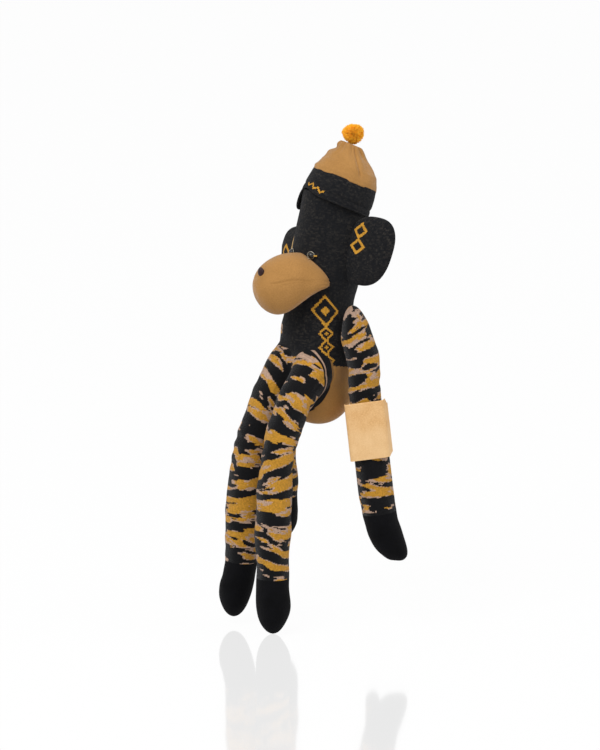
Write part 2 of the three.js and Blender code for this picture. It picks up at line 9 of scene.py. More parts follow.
import bpy
import numpy as np
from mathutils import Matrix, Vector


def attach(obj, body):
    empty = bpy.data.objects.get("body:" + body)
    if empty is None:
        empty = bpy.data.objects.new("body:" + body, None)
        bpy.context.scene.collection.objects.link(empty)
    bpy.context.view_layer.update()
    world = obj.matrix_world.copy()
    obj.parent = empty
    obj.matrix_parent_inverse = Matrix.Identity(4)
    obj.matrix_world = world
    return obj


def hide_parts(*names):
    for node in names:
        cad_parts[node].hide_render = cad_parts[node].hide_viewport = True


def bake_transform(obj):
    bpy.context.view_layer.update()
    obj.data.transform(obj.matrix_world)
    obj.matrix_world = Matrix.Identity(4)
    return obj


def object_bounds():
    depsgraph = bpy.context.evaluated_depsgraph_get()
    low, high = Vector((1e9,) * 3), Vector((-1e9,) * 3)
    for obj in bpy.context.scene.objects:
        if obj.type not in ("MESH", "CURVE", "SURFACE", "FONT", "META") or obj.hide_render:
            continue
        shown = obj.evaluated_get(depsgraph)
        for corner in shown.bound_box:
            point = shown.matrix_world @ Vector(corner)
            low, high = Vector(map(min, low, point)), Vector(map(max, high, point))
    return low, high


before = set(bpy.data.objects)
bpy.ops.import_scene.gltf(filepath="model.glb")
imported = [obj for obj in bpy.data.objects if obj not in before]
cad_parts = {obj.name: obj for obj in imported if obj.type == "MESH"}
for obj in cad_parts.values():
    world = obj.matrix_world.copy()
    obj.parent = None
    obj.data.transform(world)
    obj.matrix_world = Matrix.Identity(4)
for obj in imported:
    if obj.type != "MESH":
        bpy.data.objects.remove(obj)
cad_low, cad_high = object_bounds()

MM = 0.001
RANDOM = np.random.default_rng(7)
IMAGE_RIGHT = np.array([0.656, 0.755, 0])

# Body tube, from the solids' own lengths
TORSO_RADIUS = 34.0
HANG_HEIGHT = 5.0
BODY_BOTTOM = -90.7
SEAT_DOME = 31.5
SEAT_FLAT_DEPTH = 1.0
WAIST_RADIUS = 32.4
HEEL_LINE = -30.0
HEEL_TILT = 12.0
TORSO_MOTIF_TURN = 60.0
UNDER_THIGH_DAMPING = 0.8

# Neck and head
NECK = np.array([0.0, 1.2, 24.0])
HEAD_LEAN = 12.0
NECK_RADIUS = 31.6
CHEEK_RADIUS = 33.8
BROW_RADIUS = 32.6
SKIN_TOP = 110.0

# Muzzle, nose and eyes, drawn from the neck in the leaning head's own directions
MUZZLE_CENTRE = np.array([0.0, -40.9, 18.3])
MUZZLE_HALF = np.array([28.5, 41.0, 29.0])
MUZZLE_SPREAD = 0.24
MUZZLE_SPREAD_LIMITS = (-12.0, 24.0)
UPPER_PINCH = 0.3
LOWER_PINCH = 0.72
LOWER_PINCH_LIMITS = (-20.0, 18.0)
MUZZLE_SAG = 0.1
MUZZLE_SAG_LIMITS = (2.0, 26.0)
MOUTH_HEIGHT = 6.6
MOUTH_RISE = 2.6
NOSE_RISE = 32.0
NOSE_RADII = [3.9, 3.9, 4.7]
NOSE_ASIDE = 1.5
NOSE_PROUD = 1.0
EYE_TURNS = {"left": 21.0, "right": -26.0}
EYE_HEIGHT = 49.2
EYE_DROPS = {"left": 1.6, "right": 3.0}
BEAD_RADII = [3.1, 3.1, 2.4]
SEQUIN_RADIUS = 3.5

# Ears
EAR_WIDTH = 54.0
EAR_HEIGHT = 66.0
EAR_THICKNESS = 14.6
LEFT_EAR = np.array([48.8, 5.6, 60.2])
RIGHT_EAR = np.array([-56.5, 10.6, 46.2])
RIGHT_EAR_LEAN = 0.34
RIGHT_EAR_FLATTENED = 0.66
EAR_SWEEP = 15.0
EAR_SHEAR = 0.2
EAR_SQUARENESS = 2.6

# Hat and pompom, drawn from the middle of the brim's lower edge
HAT_CENTRE = np.array([0.0, -1.6, 98.4])
HAT_LEAN = 13.0
HAT_TILT = 5.0
BRIM_RADIUS = 34.7
BRIM_TALL = 24.5
BRIM_SET_BACK = 2.4
BRIM_MOTIF_TURN = 3.0
BRIM_ARCH, BRIM_ARCH_PLACE = 5.0, (-17.0, 26.0)
BRIM_DROOP, BRIM_DROOP_PLACE = 17.0, (-68.0, 30.0)
BRIM_LIP, BRIM_LIP_PLACE = 1.6, (-52.0, 34.0)
HAT_CORNER, HAT_CORNER_PLACE = 1.6, (-41.0, 40.0)
CROWN_RADIUS = 31.2
CROWN_TALL = 33.0
CROWN_BEND = 6.8
CROWN_SIDE_BEND = 4.2
CROWN_SEAM = np.array([0, BRIM_SET_BACK, BRIM_TALL])
CROWN_RISE = np.array([-CROWN_SIDE_BEND, -CROWN_BEND, CROWN_TALL])
CROWN_PROFILE = ([0, 0.12, 0.35, 0.6, 0.82, 0.94, 1], [31.3, 31.0, 28.4, 21.4, 14.4, 11.6, 9.4])
POMPOM_RADIUS = 10.3
POMPOM_STRANDS = 2600

# Limbs
SHOULDER_OUT = 45.6
RIGHT_ARM_TOP_INSET = 2.5
SHOULDER_HEIGHT = 13.5
SIDE_GAP = 0.25
ARM_TOP = 17.0
ARM_TOP_DOMES = {"left": 50, "right": 38}
ARM_LENGTH = 247.0
HAND_LENGTH = 47.0
ARM_SPLAY = 8.5
ELBOW_REACH = 74.0
FOREARM_RADIUS = {1: 16.7, -1: 15.6}
CUFF_RADIUS = {1: 16.5, -1: 15.4}
HAND_BEND = 4.5 * np.array([0.66, 0.75, 0])
LEFT_HAND_CORNER = np.array([0.8, 0.9, -6.0])
RIGHT_ARM_BOW = 8.0
RIGHT_ARM_DROOP = 6.0
PAPER_TALL = 55.0
FOREARM_ABOVE_CUFF = 50.0
PAPER_ABOVE_CUFF = 54.0
PAPER_HALF = 17.3
PAPER_CORNER = 3.2
PAPER_THICKNESS = 0.5
PAPER_TURN = 43.0
PAPER_FLAP = 4.0
PAPER_WIDER = 1.07
HIP_OUT = 19.2
HIP = np.array([0.0, -22.0, -34.0])
HIP_HALF = np.array([16.8, 20.6, 20.6])
KNEE_REACH = 88.0
FOOT_LENGTH = 55.0
RIGHT_TOES_ASIDE = 3.6
FILLET = 13.0
LAP_TOP = -13.5
LAP_BOTTOM = -62.0

# Dark band round the root of each thigh
BAND_CENTRE = np.array([0.0, -38.0, -42.0])
BAND_BACK = 25.0
BAND_RISE = 60.0
BAND_FALL = 35.0
BAND_SCALE = 18.0
BAND_TOTAL = 12.0

# Stitches
WALE = 1.45
COURSE = 1.15
LIMB_COURSE = 0.9
SLANT_LENGTH = 70.0
STRIPE_PITCH = 20.0
STRIPE_EDGE = 0.587

# Floor and camera
FLOOR_GAP = 0.4 * MM
FLOOR_MIRROR = 0.19
FLOOR_SHADOW = 0.035
PHOTO_WIDTH, PHOTO_HEIGHT = 600, 750
PIXEL = 0.95
BODY_PIXEL = (318.5, 330.0)
CAMERA_AZIMUTH = 49.0
CAMERA_ELEVATION = 12.76
CAMERA_DISTANCE = 9.0


def radians(degrees):
    return degrees * math.pi / 180


def to_row(points):
    """From the doll's own frame in millimetres to the row frame in metres."""
    return (np.asarray(points, float) - [0, TORSO_RADIUS, HANG_HEIGHT]) * MM


def turned(points, degrees, axis):
    """Points turned about the axis X, Y or Z through the origin."""
    angle = radians(degrees)
    first, second = [(1, 2), (2, 0), (0, 1)][axis]
    result = np.array(points, float)
    a, b = result[..., first].copy(), result[..., second].copy()
    result[..., first] = a * math.cos(angle) - b * math.sin(angle)
    result[..., second] = a * math.sin(angle) + b * math.cos(angle)
    return result


def from_head(points):
    """From the leaning head's directions to the doll's frame."""
    return turned(points, -HEAD_LEAN, 0) + NECK


def from_hat(points):
    """From the hat's directions to the doll's frame."""
    return from_head(turned(turned(points, HAT_TILT, 1), -HAT_LEAN, 0) + HAT_CENTRE)


def eased(value, low, high):
    """0 below low, 1 above high, and smooth between them."""
    share = np.clip((value - low) / (high - low), 0, 1)
    return share * share * (3 - 2 * share)


def hill(value, centre, spread):
    """A smooth hill of height 1 round the centre."""
    return np.exp(-(((value - centre) / spread) ** 2))


def unit(vectors):
    return vectors / np.linalg.norm(vectors, axis=-1, keepdims=True)


def turns(count):
    """Angles once round, evenly spaced."""
    return np.arange(count) / count * 2 * math.pi


def azimuths(turn):
    """Angles round the hat in degrees: 0 in front and 90 at the doll's left."""
    return np.degrees(np.arctan2(np.cos(turn), -np.sin(turn)))


def side_of(name):
    return 1 if name == "left" else -1


def ends(grid):
    """The middles of a grid's first and last rings."""
    return grid[0].mean(axis=0), grid[-1].mean(axis=0)


def lumps(points, size, seed, waves=9):
    """A smooth random swell between about -1 and 1 whose bumps are about so many millimetres across."""
    random = np.random.default_rng(seed)
    total = np.zeros(points.shape[:-1])
    for _ in range(waves):
        direction = random.normal(size=3)
        direction *= random.uniform(0.7, 1.4) * math.pi / size / np.linalg.norm(direction)
        total += np.sin(points @ direction + random.uniform(0, 2 * math.pi))
    return total / math.sqrt(waves)


# Round paths with a radius at each length along them


def smooth_line(points, steps=40):
    """Points along a smooth curve through the given ones."""
    points = np.array(points, float)
    padded = np.vstack([2 * points[0] - points[1], points, 2 * points[-1] - points[-2]])
    pieces = []
    share = np.linspace(0, 1, steps, endpoint=False)[:, None]
    for p0, p1, p2, p3 in zip(padded, padded[1:], padded[2:], padded[3:]):
        d0, d1, d2 = (math.sqrt(np.linalg.norm(b - a)) for a, b in ((p0, p1), (p1, p2), (p2, p3)))
        start = ((p1 - p0) / d0 - (p2 - p0) / (d0 + d1) + (p2 - p1) / d1) * d1
        end = ((p2 - p1) / d1 - (p3 - p1) / (d1 + d2) + (p3 - p2) / d2) * d1
        cube, square = share**3, share**2
        piece = p1 * (2 * cube - 3 * square + 1) + start * (cube - 2 * square + share)
        pieces.append(piece + p2 * (3 * square - 2 * cube) + end * (cube - square))
    return np.vstack(pieces + [points[-1:]])


class Tube:
    """A round form along a smooth path. Stations are pairs of a length along the path and a radius."""

    def __init__(self, points, stations):
        self.line = smooth_line(points)
        steps = np.linalg.norm(np.diff(self.line, axis=0), axis=1)
        self.reach = np.concatenate([[0], np.cumsum(steps)])
        self.length = self.reach[-1]
        self.stations = np.array(stations, float).T

    def along_line(self, reach):
        return np.stack([np.interp(reach, self.reach, self.line[:, i]) for i in range(3)], axis=-1)

    def point(self, reach):
        inside = np.clip(reach, 0, self.length)
        return self.along_line(inside) + self.tangent(reach) * (np.asarray(reach) - inside)[..., None]

    def tangent(self, reach):
        step = 2.0
        inside = np.clip(reach, step, self.length - step)
        return unit(self.along_line(inside + step) - self.along_line(inside - step))

    def radius(self, reach):
        at, radii = self.stations
        slopes = np.gradient(radii, at)
        slopes[[0, -1]] = 0
        reach = np.clip(reach, at[0], at[-1])
        i = np.clip(np.searchsorted(at, reach) - 1, 0, len(at) - 2)
        gap = at[i + 1] - at[i]
        t = (reach - at[i]) / gap
        return (
            radii[i] * (2 * t**3 - 3 * t**2 + 1)
            + slopes[i] * gap * (t**3 - 2 * t**2 + t)
            + radii[i + 1] * (3 * t**2 - 2 * t**3)
            + slopes[i + 1] * gap * (t**3 - t**2)
        )

    def distance(self, points, low, high):
        """How far points are outside the tube between two lengths along it; negative inside."""
        reaches = np.arange(low, high, 2.0)
        centres, radii = self.point(reaches), self.radius(reaches)
        flat = points.reshape(-1, 3)
        gaps = np.full(len(flat), np.inf)
        for centre, radius in zip(centres, radii):
            gaps = np.minimum(gaps, np.linalg.norm(flat - centre, axis=1) - radius)
        return gaps.reshape(points.shape[:-1])

    def rings(self, reaches, fullness, sides, turn=0.0):
        """Points round the path at each length, and the direction outwards at each."""
        centre, along = self.point(reaches), self.tangent(reaches)
        side = unit(np.array([1.0, 0, 0]) - along * along[:, :1])
        spoke = spokes(along, side, radians(turn) + turns(sides))
        radius = (self.radius(reaches) * fullness)[:, None, None]
        return centre[:, None] + spoke * radius, spoke


def spokes(along, side, angle):
    """Directions outwards round each point of a path."""
    front = np.cross(along, side)
    return side[:, None] * np.cos(angle)[:, None] + front[:, None] * np.sin(angle)[:, None]


def domed_reaches(low, high, spacing, low_dome=0.0, high_dome=0.0, dome_rings=14):
    """Lengths along a tube for its rings, closer over the domed ends, and how full each ring is."""
    steps = max(2, round((high - low - low_dome - high_dome) / spacing))
    middle = np.linspace(low + low_dome, high - high_dome, steps + 1)
    reaches, fullness = [middle], [np.ones(len(middle))]
    turn = (np.arange(1, dome_rings) / dome_rings) * math.pi / 2
    if low_dome:
        reaches.insert(0, low + low_dome * (1 - np.cos(turn)))
        fullness.insert(0, np.sin(turn))
    if high_dome:
        reaches.append((high - high_dome * (1 - np.cos(turn)))[::-1])
        fullness.append(np.sin(turn)[::-1])
    return np.concatenate(reaches), np.concatenate(fullness)


# Meshes


def make_object(name, vertices, faces, uvs):
    """An object from points in the doll's frame. uvs are one pair for each corner of each face."""
    mesh = bpy.data.meshes.new(name)
    mesh.from_pydata(to_row(vertices).tolist(), [], faces)
    mesh.uv_layers.new(name="knit").data.foreach_set("uv", np.asarray(uvs, np.float32).ravel())
    mesh.polygons.foreach_set("use_smooth", [True] * len(mesh.polygons))
    mesh.validate()
    piece = bpy.data.objects.new(name, mesh)
    bpy.context.scene.collection.objects.link(piece)
    return piece


def skin(name, grid, low_pole=None, high_pole=None, keep=None, values=None, points=None):
    """A closed or open tube of quads over a grid of rings, or those of them that keep picks out. Its UVs
    are turns round it and metres along it. values go to its faces and points to its vertices, by name."""
    rings, sides = grid.shape[:2]
    steps = np.linalg.norm(np.diff(grid, axis=0), axis=2).mean(axis=1)
    run = np.concatenate([[0], np.cumsum(steps)]) * MM
    vertices = [*grid.reshape(-1, 3)]
    faces, uvs, kept = [], [], []
    for ring in range(rings - 1):
        for i in range(sides):
            if keep is not None and not keep[ring, i]:
                continue
            j = (i + 1) % sides
            a, b = ring * sides + i, ring * sides + j
            faces.append((a, b, b + sides, a + sides))
            left, right = i / sides, (i + 1) / sides
            uvs += [(left, run[ring]), (right, run[ring]), (right, run[ring + 1]), (left, run[ring + 1])]
            kept.append((ring, i))
    for pole, ring, end in ((low_pole, 0, run[0]), (high_pole, rings - 1, run[-1])):
        if pole is None:
            continue
        vertices.append(pole)
        gap = np.linalg.norm(grid[ring] - pole, axis=1).mean() * MM * (1 if ring else -1)
        for i in range(sides):
            corners = [ring * sides + i, ring * sides + (i + 1) % sides, len(vertices) - 1]
            corner_uvs = [(i / sides, end), ((i + 1) / sides, end), ((i + 0.5) / sides, end + gap)]
            order = (0, 1, 2) if ring else (1, 0, 2)
            faces.append(tuple(corners[k] for k in order))
            uvs += [corner_uvs[k] for k in order]
            kept.append((ring, i))
    used = sorted({corner for face in faces for corner in face})
    order = {old: new for new, old in enumerate(used)}
    faces = [[order[corner] for corner in face] for face in faces]
    piece = make_object(name, np.array(vertices)[used], faces, uvs)
    for label, value in (values or {}).items():
        attribute = piece.data.attributes.new(label, "FLOAT", "FACE")
        attribute.data.foreach_set("value", [float(value[min(r, len(value) - 1), i]) for r, i in kept])
    for label, value in (points or {}).items():
        poles = [value[end].mean() for pole, end in ((low_pole, 0), (high_pole, -1)) if pole is not None]
        attribute = piece.data.attributes.new(label, "FLOAT", "POINT")
        attribute.data.foreach_set("value", np.append(value.ravel(), poles)[used].astype(np.float32))
    return piece


# Materials


def colour(code):
    """A hexadecimal colour as the linear values that shaders take."""
    parts = [int(code[i : i + 2], 16) / 255 for i in (1, 3, 5)]
    linear = [c / 12.92 if c <= 0.04045 else ((c + 0.055) / 1.055) ** 2.4 for c in parts]
    return (*linear, 1.0)


class Tree:
    """Short ways to add nodes to a material or a world."""

    def __init__(self, owner):
        owner.use_nodes = True
        self.nodes, self.links = owner.node_tree.nodes, owner.node_tree.links

    def plug(self, socket, value):
        """Links a socket to another one or sets its value."""
        if isinstance(value, bpy.types.NodeSocket):
            self.links.new(value, socket)
        else:
            socket.default_value = value

    def node(self, kind, *values, **settings):
        node = self.nodes.new(kind)
        for label, value in settings.items():
            setattr(node, label, value)
        for socket, value in zip(node.inputs, values):
            self.plug(socket, value)
        return node

    def math(self, operation, *values):
        return self.node("ShaderNodeMath", *values, operation=operation).outputs[0]

    def times(self, first, second):
        return self.math("MULTIPLY", first, second)

    def line(self, value, slope, start):
        return self.math("MULTIPLY_ADD", value, slope, start)

    def blend(self, share, first, second):
        return self.node("ShaderNodeMixShader", share, first, second).outputs[0]

    def seen(self):
        """1 for the rays that end in the picture, straight or by a mirror, and 0 for the rest."""
        ray = self.node("ShaderNodeLightPath").outputs
        return self.math("MAXIMUM", ray["Is Camera Ray"], ray["Is Glossy Ray"])


class Shader(Tree):
    """A material that paints with noises and face values."""

    def __init__(self, name, roughness=0.9, gloss=0.12, **settings):
        self.material = bpy.data.materials.new(name)
        super().__init__(self.material)
        self.surface = self.nodes["Principled BSDF"]
        self.surface.inputs["Roughness"].default_value = roughness
        self.surface.inputs["Specular IOR Level"].default_value = gloss
        for label, value in settings.items():
            self.surface.inputs[label.replace("_", " ")].default_value = value

    def mix(self, share, first, second):
        node = self.node("ShaderNodeMix", data_type="RGBA")
        for label, value in (("Factor_Float", share), ("A_Color", first), ("B_Color", second)):
            self.plug(next(s for s in node.inputs if s.identifier == label), value)
        return next(s for s in node.outputs if s.identifier == "Result_Color")

    def ramp(self, value, low, high):
        """0 below low and 1 above high."""
        node = self.node("ShaderNodeMapRange", value, low, high, 0.0, 1.0, interpolation_type="SMOOTHSTEP")
        return node.outputs[0]

    def hump(self, share, depth):
        """1 in the middle and 1 - depth at both ends."""
        from_middle = self.line(share, 2.0, -1.0)
        return self.line(self.times(from_middle, from_middle), -depth, 1.0)

    def attribute(self, label):
        return self.node("ShaderNodeAttribute", attribute_name=label).outputs["Fac"]

    def vector(self, x, y, z):
        return self.node("ShaderNodeCombineXYZ", x, y, z).outputs[0]

    def place(self):
        return self.node("ShaderNodeTexCoord").outputs["Object"]

    def noise(self, vector, scale=1.0, detail=2.0, roughness=0.5):
        node = self.node("ShaderNodeTexNoise", vector)
        for label, value in (("Scale", scale), ("Detail", detail), ("Roughness", roughness)):
            node.inputs[label].default_value = value
        return node.outputs["Fac"]

    def finish(self, paint, height, depth, strength=0.6):
        """Colour and bump: height runs from 0 to 1 and stands for so many metres of depth."""
        self.plug(self.surface.inputs["Base Color"], paint)
        bump = self.node("ShaderNodeBump")
        for label, value in (("Strength", strength), ("Distance", depth), ("Height", height)):
            self.plug(bump.inputs[label], value)
        self.plug(self.surface.inputs["Normal"], bump.outputs[0])
        return self.material


class Knit:
    """The stitches of a knitted tube: V-shaped columns in rows, in the UVs of skin()."""

    def __init__(self, shader, wales, radius, course=COURSE):
        uv = shader.node("ShaderNodeUVMap", uv_map="knit").outputs[0]
        x, y, _ = shader.node("ShaderNodeSeparateXYZ", uv).outputs
        s = shader.times(x, float(wales))
        across = shader.math("FRACT", s)
        column = shader.math("FLOOR", s)
        arm = shader.math("ABSOLUTE", shader.math("SUBTRACT", across, 0.5))
        t = shader.math("ADD", shader.math("DIVIDE", y, course * MM), shader.times(arm, 1.3))
        row = shader.math("FLOOR", t)
        along = shader.math("FRACT", t)
        leg = shader.math("FRACT", shader.times(across, 2.0))
        self.height = shader.times(shader.hump(leg, 0.85), shader.hump(along, 0.6))
        angle = shader.times(shader.math("ADD", column, 0.5), 2 * math.pi / wales)
        self.x = shader.times(shader.math("COSINE", angle), radius * MM)
        self.y = shader.times(shader.math("SINE", angle), radius * MM)
        self.z = shader.times(row, course * MM)
        self.cell = shader.vector(column, row, 0.0)
        self.shader = shader

    def place(self, round_size, along_size, shift=0.0):
        """The stitch's place for a noise, whose spots are so many millimetres round and along the tube."""
        scaled = [self.shader.math("DIVIDE", part, round_size * MM) for part in (self.x, self.y)]
        return self.shader.vector(*scaled, self.shader.line(self.z, 1 / (along_size * MM), shift))

    def speckle_and_gap_shade(self, paint, amount):
        """Makes each stitch a little lighter or darker than the next, and paints shade into the gaps
        between them, darker where the stitch is low.
        """
        shader = self.shader
        random = shader.node("ShaderNodeTexWhiteNoise", self.cell, noise_dimensions="3D").outputs["Value"]
        bright = shader.line(random, amount, 1 - amount / 2)
        # painted shade: the low parts of each stitch, its gaps, are painted darker
        tone_and_gap_shade = shader.times(bright, shader.line(self.height, 0.35, 0.72))
        grey = shader.vector(tone_and_gap_shade, tone_and_gap_shade, tone_and_gap_shade)
        return shader.node("ShaderNodeVectorMath", paint, grey, operation="MULTIPLY").outputs[0]


HEATHER_DARK = colour("#141518")
HEATHER_FLECK = colour("#443f39")
GOLD = colour("#c58f33")
BEIGE = colour("#ba9b86")
CAMOUFLAGE_BLACK = colour("#121214")
# a darker tan, used both for random clouds and for painted shade in creases
TAN = colour("#b2834b")
TAN_TONE_AND_PAINTED_SHADE = colour("#9c713d")
TAN_MIDDLE = colour("#aa7d46")
BLACK = colour("#09090b")


def heather_knit(name, wales, radius):
    """Near-black knit with short brown-grey flecks along its rows, and gold in its motif."""
    shader = Shader(name, 0.92, Sheen_Weight=0.03, Sheen_Roughness=0.5)
    knit = Knit(shader, wales, radius)
    fleck = shader.ramp(shader.noise(knit.place(3.4, 0.8)), 0.44, 0.72)
    cloud = shader.ramp(shader.noise(knit.place(30, 22)), 0.3, 0.7)
    share = shader.times(fleck, shader.line(cloud, 0.34, 0.2))
    paint = shader.mix(share, HEATHER_DARK, HEATHER_FLECK)
    paint = shader.mix(shader.attribute("motif"), paint, GOLD)
    return shader.finish(knit.speckle_and_gap_shade(paint, 0.3), knit.height, 0.35 * MM)


def banded(shader, paint):
    """The dark band and its thin beige line over the heel's colour."""
    band = shader.attribute("band")
    line = shader.math("SUBTRACT", shader.ramp(band, 5.7, 6.1), shader.ramp(band, 6.8, 7.2))
    paint = shader.mix(shader.ramp(band, 0.4, 0.8), paint, HEATHER_DARK)
    return shader.mix(line, paint, BEIGE)


def tan_knit(name, wales, radius, course=0.8):
    """Plain tan jersey, finer than the rest, with random darker clouds and painted shade along its
    creases.
    """
    shader = Shader(name, 0.85, Sheen_Weight=0.3, Sheen_Roughness=0.3)
    knit = Knit(shader, wales, radius, course)
    cloud = shader.ramp(shader.noise(knit.place(24, 18), detail=3.0), 0.3, 0.75)
    paint = shader.mix(shader.times(cloud, 0.35), TAN, TAN_TONE_AND_PAINTED_SHADE)
    # painted shade: faces along the creases are painted darker
    paint = shader.mix(shader.attribute("painted_crease_shade"), paint, TAN_TONE_AND_PAINTED_SHADE)
    return shader.finish(knit.speckle_and_gap_shade(banded(shader, paint), 0.16), knit.height, 0.25 * MM, 0.5)


def camouflage_knit(name, wales, radius, shift, heel=False):
    """Tiger-stripe camouflage: long jagged gold stripes on black, edged and spotted with dusty beige."""
    shader = Shader(name, 0.9, Sheen_Weight=0.12, Sheen_Roughness=0.3)
    knit = Knit(shader, wales, radius, LIMB_COURSE)
    turning = shader.vector(shift, 0.0, shader.math("DIVIDE", knit.z, SLANT_LENGTH * MM))
    slope = shader.line(shader.noise(turning, detail=0.0), 2.2, -1.1)
    across = shader.line(knit.x, -IMAGE_RIGHT[1], shader.times(knit.y, -IMAGE_RIGHT[0]))
    knit.z = shader.line(across, slope, knit.z)
    sway = shader.times(shader.noise(knit.place(30, 40, shift), detail=1.0), 2.0)
    cycle = shader.math("ADD", shader.math("DIVIDE", knit.z, STRIPE_PITCH * MM), sway)
    wave = shader.math("SINE", shader.times(cycle, 2 * math.pi))
    streak = shader.noise(knit.place(36, 6.5, shift + 20), roughness=0.45)
    ragged = shader.noise(knit.place(3.5, 1.2, shift + 40), detail=1.0)
    value = shader.line(wave, 0.1, streak)
    value = shader.line(ragged, 0.075, value)
    border = shader.noise(knit.place(16, 5, shift + 60), detail=1.0)
    edge = shader.line(shader.ramp(border, 0.38, 0.6), -0.056, STRIPE_EDGE)
    root = shader.ramp(knit.z, 75 * MM, 30 * MM)
    spot = shader.line(root, 0.08, shader.noise(knit.place(22, 9, shift + 80)))
    patch = shader.math("GREATER_THAN", spot, 0.6)
    paint = shader.mix(shader.math("GREATER_THAN", value, edge), CAMOUFLAGE_BLACK, BEIGE)
    gold = shader.math("GREATER_THAN", value, STRIPE_EDGE)
    paint = shader.mix(gold, paint, shader.mix(patch, GOLD, BEIGE))
    if heel:
        band = shader.attribute("band")
        paint = shader.mix(shader.ramp(band, 8.6, 8.2), paint, banded(shader, TAN_MIDDLE))
    return shader.finish(knit.speckle_and_gap_shade(paint, 0.42), knit.height, 0.4 * MM, 0.75)


def black_knit(name, wales, radius):
    shader = Shader(name, 0.95, gloss=0.08, Sheen_Weight=0.02, Sheen_Roughness=0.5)
    knit = Knit(shader, wales, radius, 0.9)
    cloud = shader.ramp(shader.noise(knit.place(18, 14)), 0.3, 0.8)
    paint = shader.mix(shader.times(cloud, 0.3), BLACK, colour("#1a1a1e"))
    return shader.finish(knit.speckle_and_gap_shade(paint, 0.15), knit.height, 0.25 * MM, 0.5)


def plain(name, code, roughness, bump_size, bump_depth, gloss=0.5, **settings):
    """One colour with a fine uneven surface."""
    shader = Shader(name, roughness, gloss=gloss, **settings)
    grain = shader.noise(shader.place(), scale=1 / (bump_size * MM), detail=3.0)
    dark = tuple(c * 0.78 for c in colour(code)[:3]) + (1.0,)
    paint = shader.mix(shader.ramp(grain, 0.3, 0.7), dark, colour(code))
    return shader.finish(paint, grain, bump_depth * MM)


def dress(piece, material, body, slot, *nodes, fill=None):
    """Gives a piece its material and body, and hides the solids that it stands for."""
    piece.data.materials.clear()
    piece.data.materials.append(material)
    if body:
        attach(piece, body)
    if nodes:
        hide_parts(*nodes)


# The body and head, one tube from the seat to inside the hat


def head_point(y, z):
    return from_head(np.array([0.0, y, z]))


BODY_LINE = [
    (0, 0, BODY_BOTTOM),
    (0, 0, -45),
    (0, 0, 0),
    NECK - [0, 0.4, 8],
    head_point(0, 8),
    head_point(0, 45),
    head_point(HAT_CENTRE[1], HAT_CENTRE[2]),
    head_point(-3, 128),
]
NECK_REACH = NECK[2] - BODY_BOTTOM
BODY = Tube(
    BODY_LINE,
    [
        (0, WAIST_RADIUS),
        (51.7, WAIST_RADIUS),
        (87.7, TORSO_RADIUS),
        (99, TORSO_RADIUS - 0.3),
        (NECK_REACH + 3, NECK_RADIUS),
        (NECK_REACH + 30, CHEEK_RADIUS),
        (NECK_REACH + 62, BROW_RADIUS + 0.8),
        (NECK_REACH + 88, BROW_RADIUS - 1.2),
        (NECK_REACH + 128, BROW_RADIUS - 2),
    ],
)


def leg_tube(side, drop, thigh_forward, knee_forward, calf_forward):
    def bend(forward, fall):
        return (side * (HIP_OUT + 7 * fall / drop), HIP[1] - forward, HIP[2] - fall)

    knee_point = bend(knee_forward, 78)
    points = [bend(0, 0), bend(thigh_forward, 28), knee_point, bend(calf_forward, 140), bend(58, drop)]
    length = Tube(points, [(0, 1), (1, 1)]).length
    ankle = length - FOOT_LENGTH
    thigh = math.hypot(thigh_forward, 28)
    knee = thigh + math.hypot(knee_forward - thigh_forward, 50)
    stations = [
        (0, 16.6),
        (thigh, 16.4),
        (knee, 15.3),
        ((knee + ankle) / 2, 17.5),
        (ankle, 15.4),
        (length - 28, 16.4),
        (length, 15.0),
    ]
    return Tube(points, stations)


LEGS = {
    "left": leg_tube(1, drop=245, thigh_forward=28, knee_forward=48, calf_forward=55),
    "right": leg_tube(-1, drop=238, thigh_forward=23, knee_forward=46, calf_forward=51),
}


def hip_distance(points, side):
    """How far points are outside the round end of a leg inside the body."""
    centre = HIP + [side * HIP_OUT, 0, 0]
    return (np.linalg.norm((points - centre) / HIP_HALF, axis=-1) - 1) * 19.0


def leg_distance(points, name):
    return np.minimum(LEGS[name].distance(points, 0, 120), hip_distance(points, side_of(name)))


def body_distance(points):
    return BODY.distance(points, SEAT_DOME, NECK_REACH + 40)


def blended(own, other, reach=FILLET):
    """The smooth union of two distances."""
    overlap = np.maximum(reach - np.abs(own - other), 0) / reach
    return np.minimum(own, other) - overlap**2 * reach / 4


def swell_to_union(points, outward, own_distance, other_distance, sink=1.0, most=9.0):
    """Moves points outwards on to the smooth union of two forms, just under it past the line where
    the other form takes over, and not at all deep inside that form."""
    flat, direction = points.reshape(-1, 3), outward.reshape(-1, 3)
    depth = other_distance(flat)
    near = np.abs(depth) < 30
    moved = flat.copy()
    low, high = np.zeros(near.sum()), np.full(near.sum(), most)
    for _ in range(9):
        middle = (low + high) / 2
        here = flat[near] + direction[near] * middle[:, None]
        own, other = own_distance(here), other_distance(here)
        inside = blended(own, other) + sink * eased(own - other, 0, 4) < 0
        low, high = np.where(inside, middle, low), np.where(inside, high, middle)
    shift = low * eased(depth[near], -7, -1)
    moved[near] += direction[near] * shift[:, None]
    return moved.reshape(points.shape)


def both_legs(points):
    return np.minimum(leg_distance(points, "left"), leg_distance(points, "right"))


def heel_band(points):
    """How far points are inside the line where the dark band round a thigh's root meets the tan heel."""
    back = np.maximum(points[..., 1] - BAND_CENTRE[1], 0) / BAND_BACK
    up = points[..., 2] - BAND_CENTRE[2]
    return (1 - np.hypot(back, up / np.where(up > 0, BAND_RISE, BAND_FALL))) * BAND_SCALE


def zigzag(value, period):
    """A wave of straight lines between 0 and 1."""
    share = (value / period) % 1
    return 1 - np.abs(2 * share - 1)


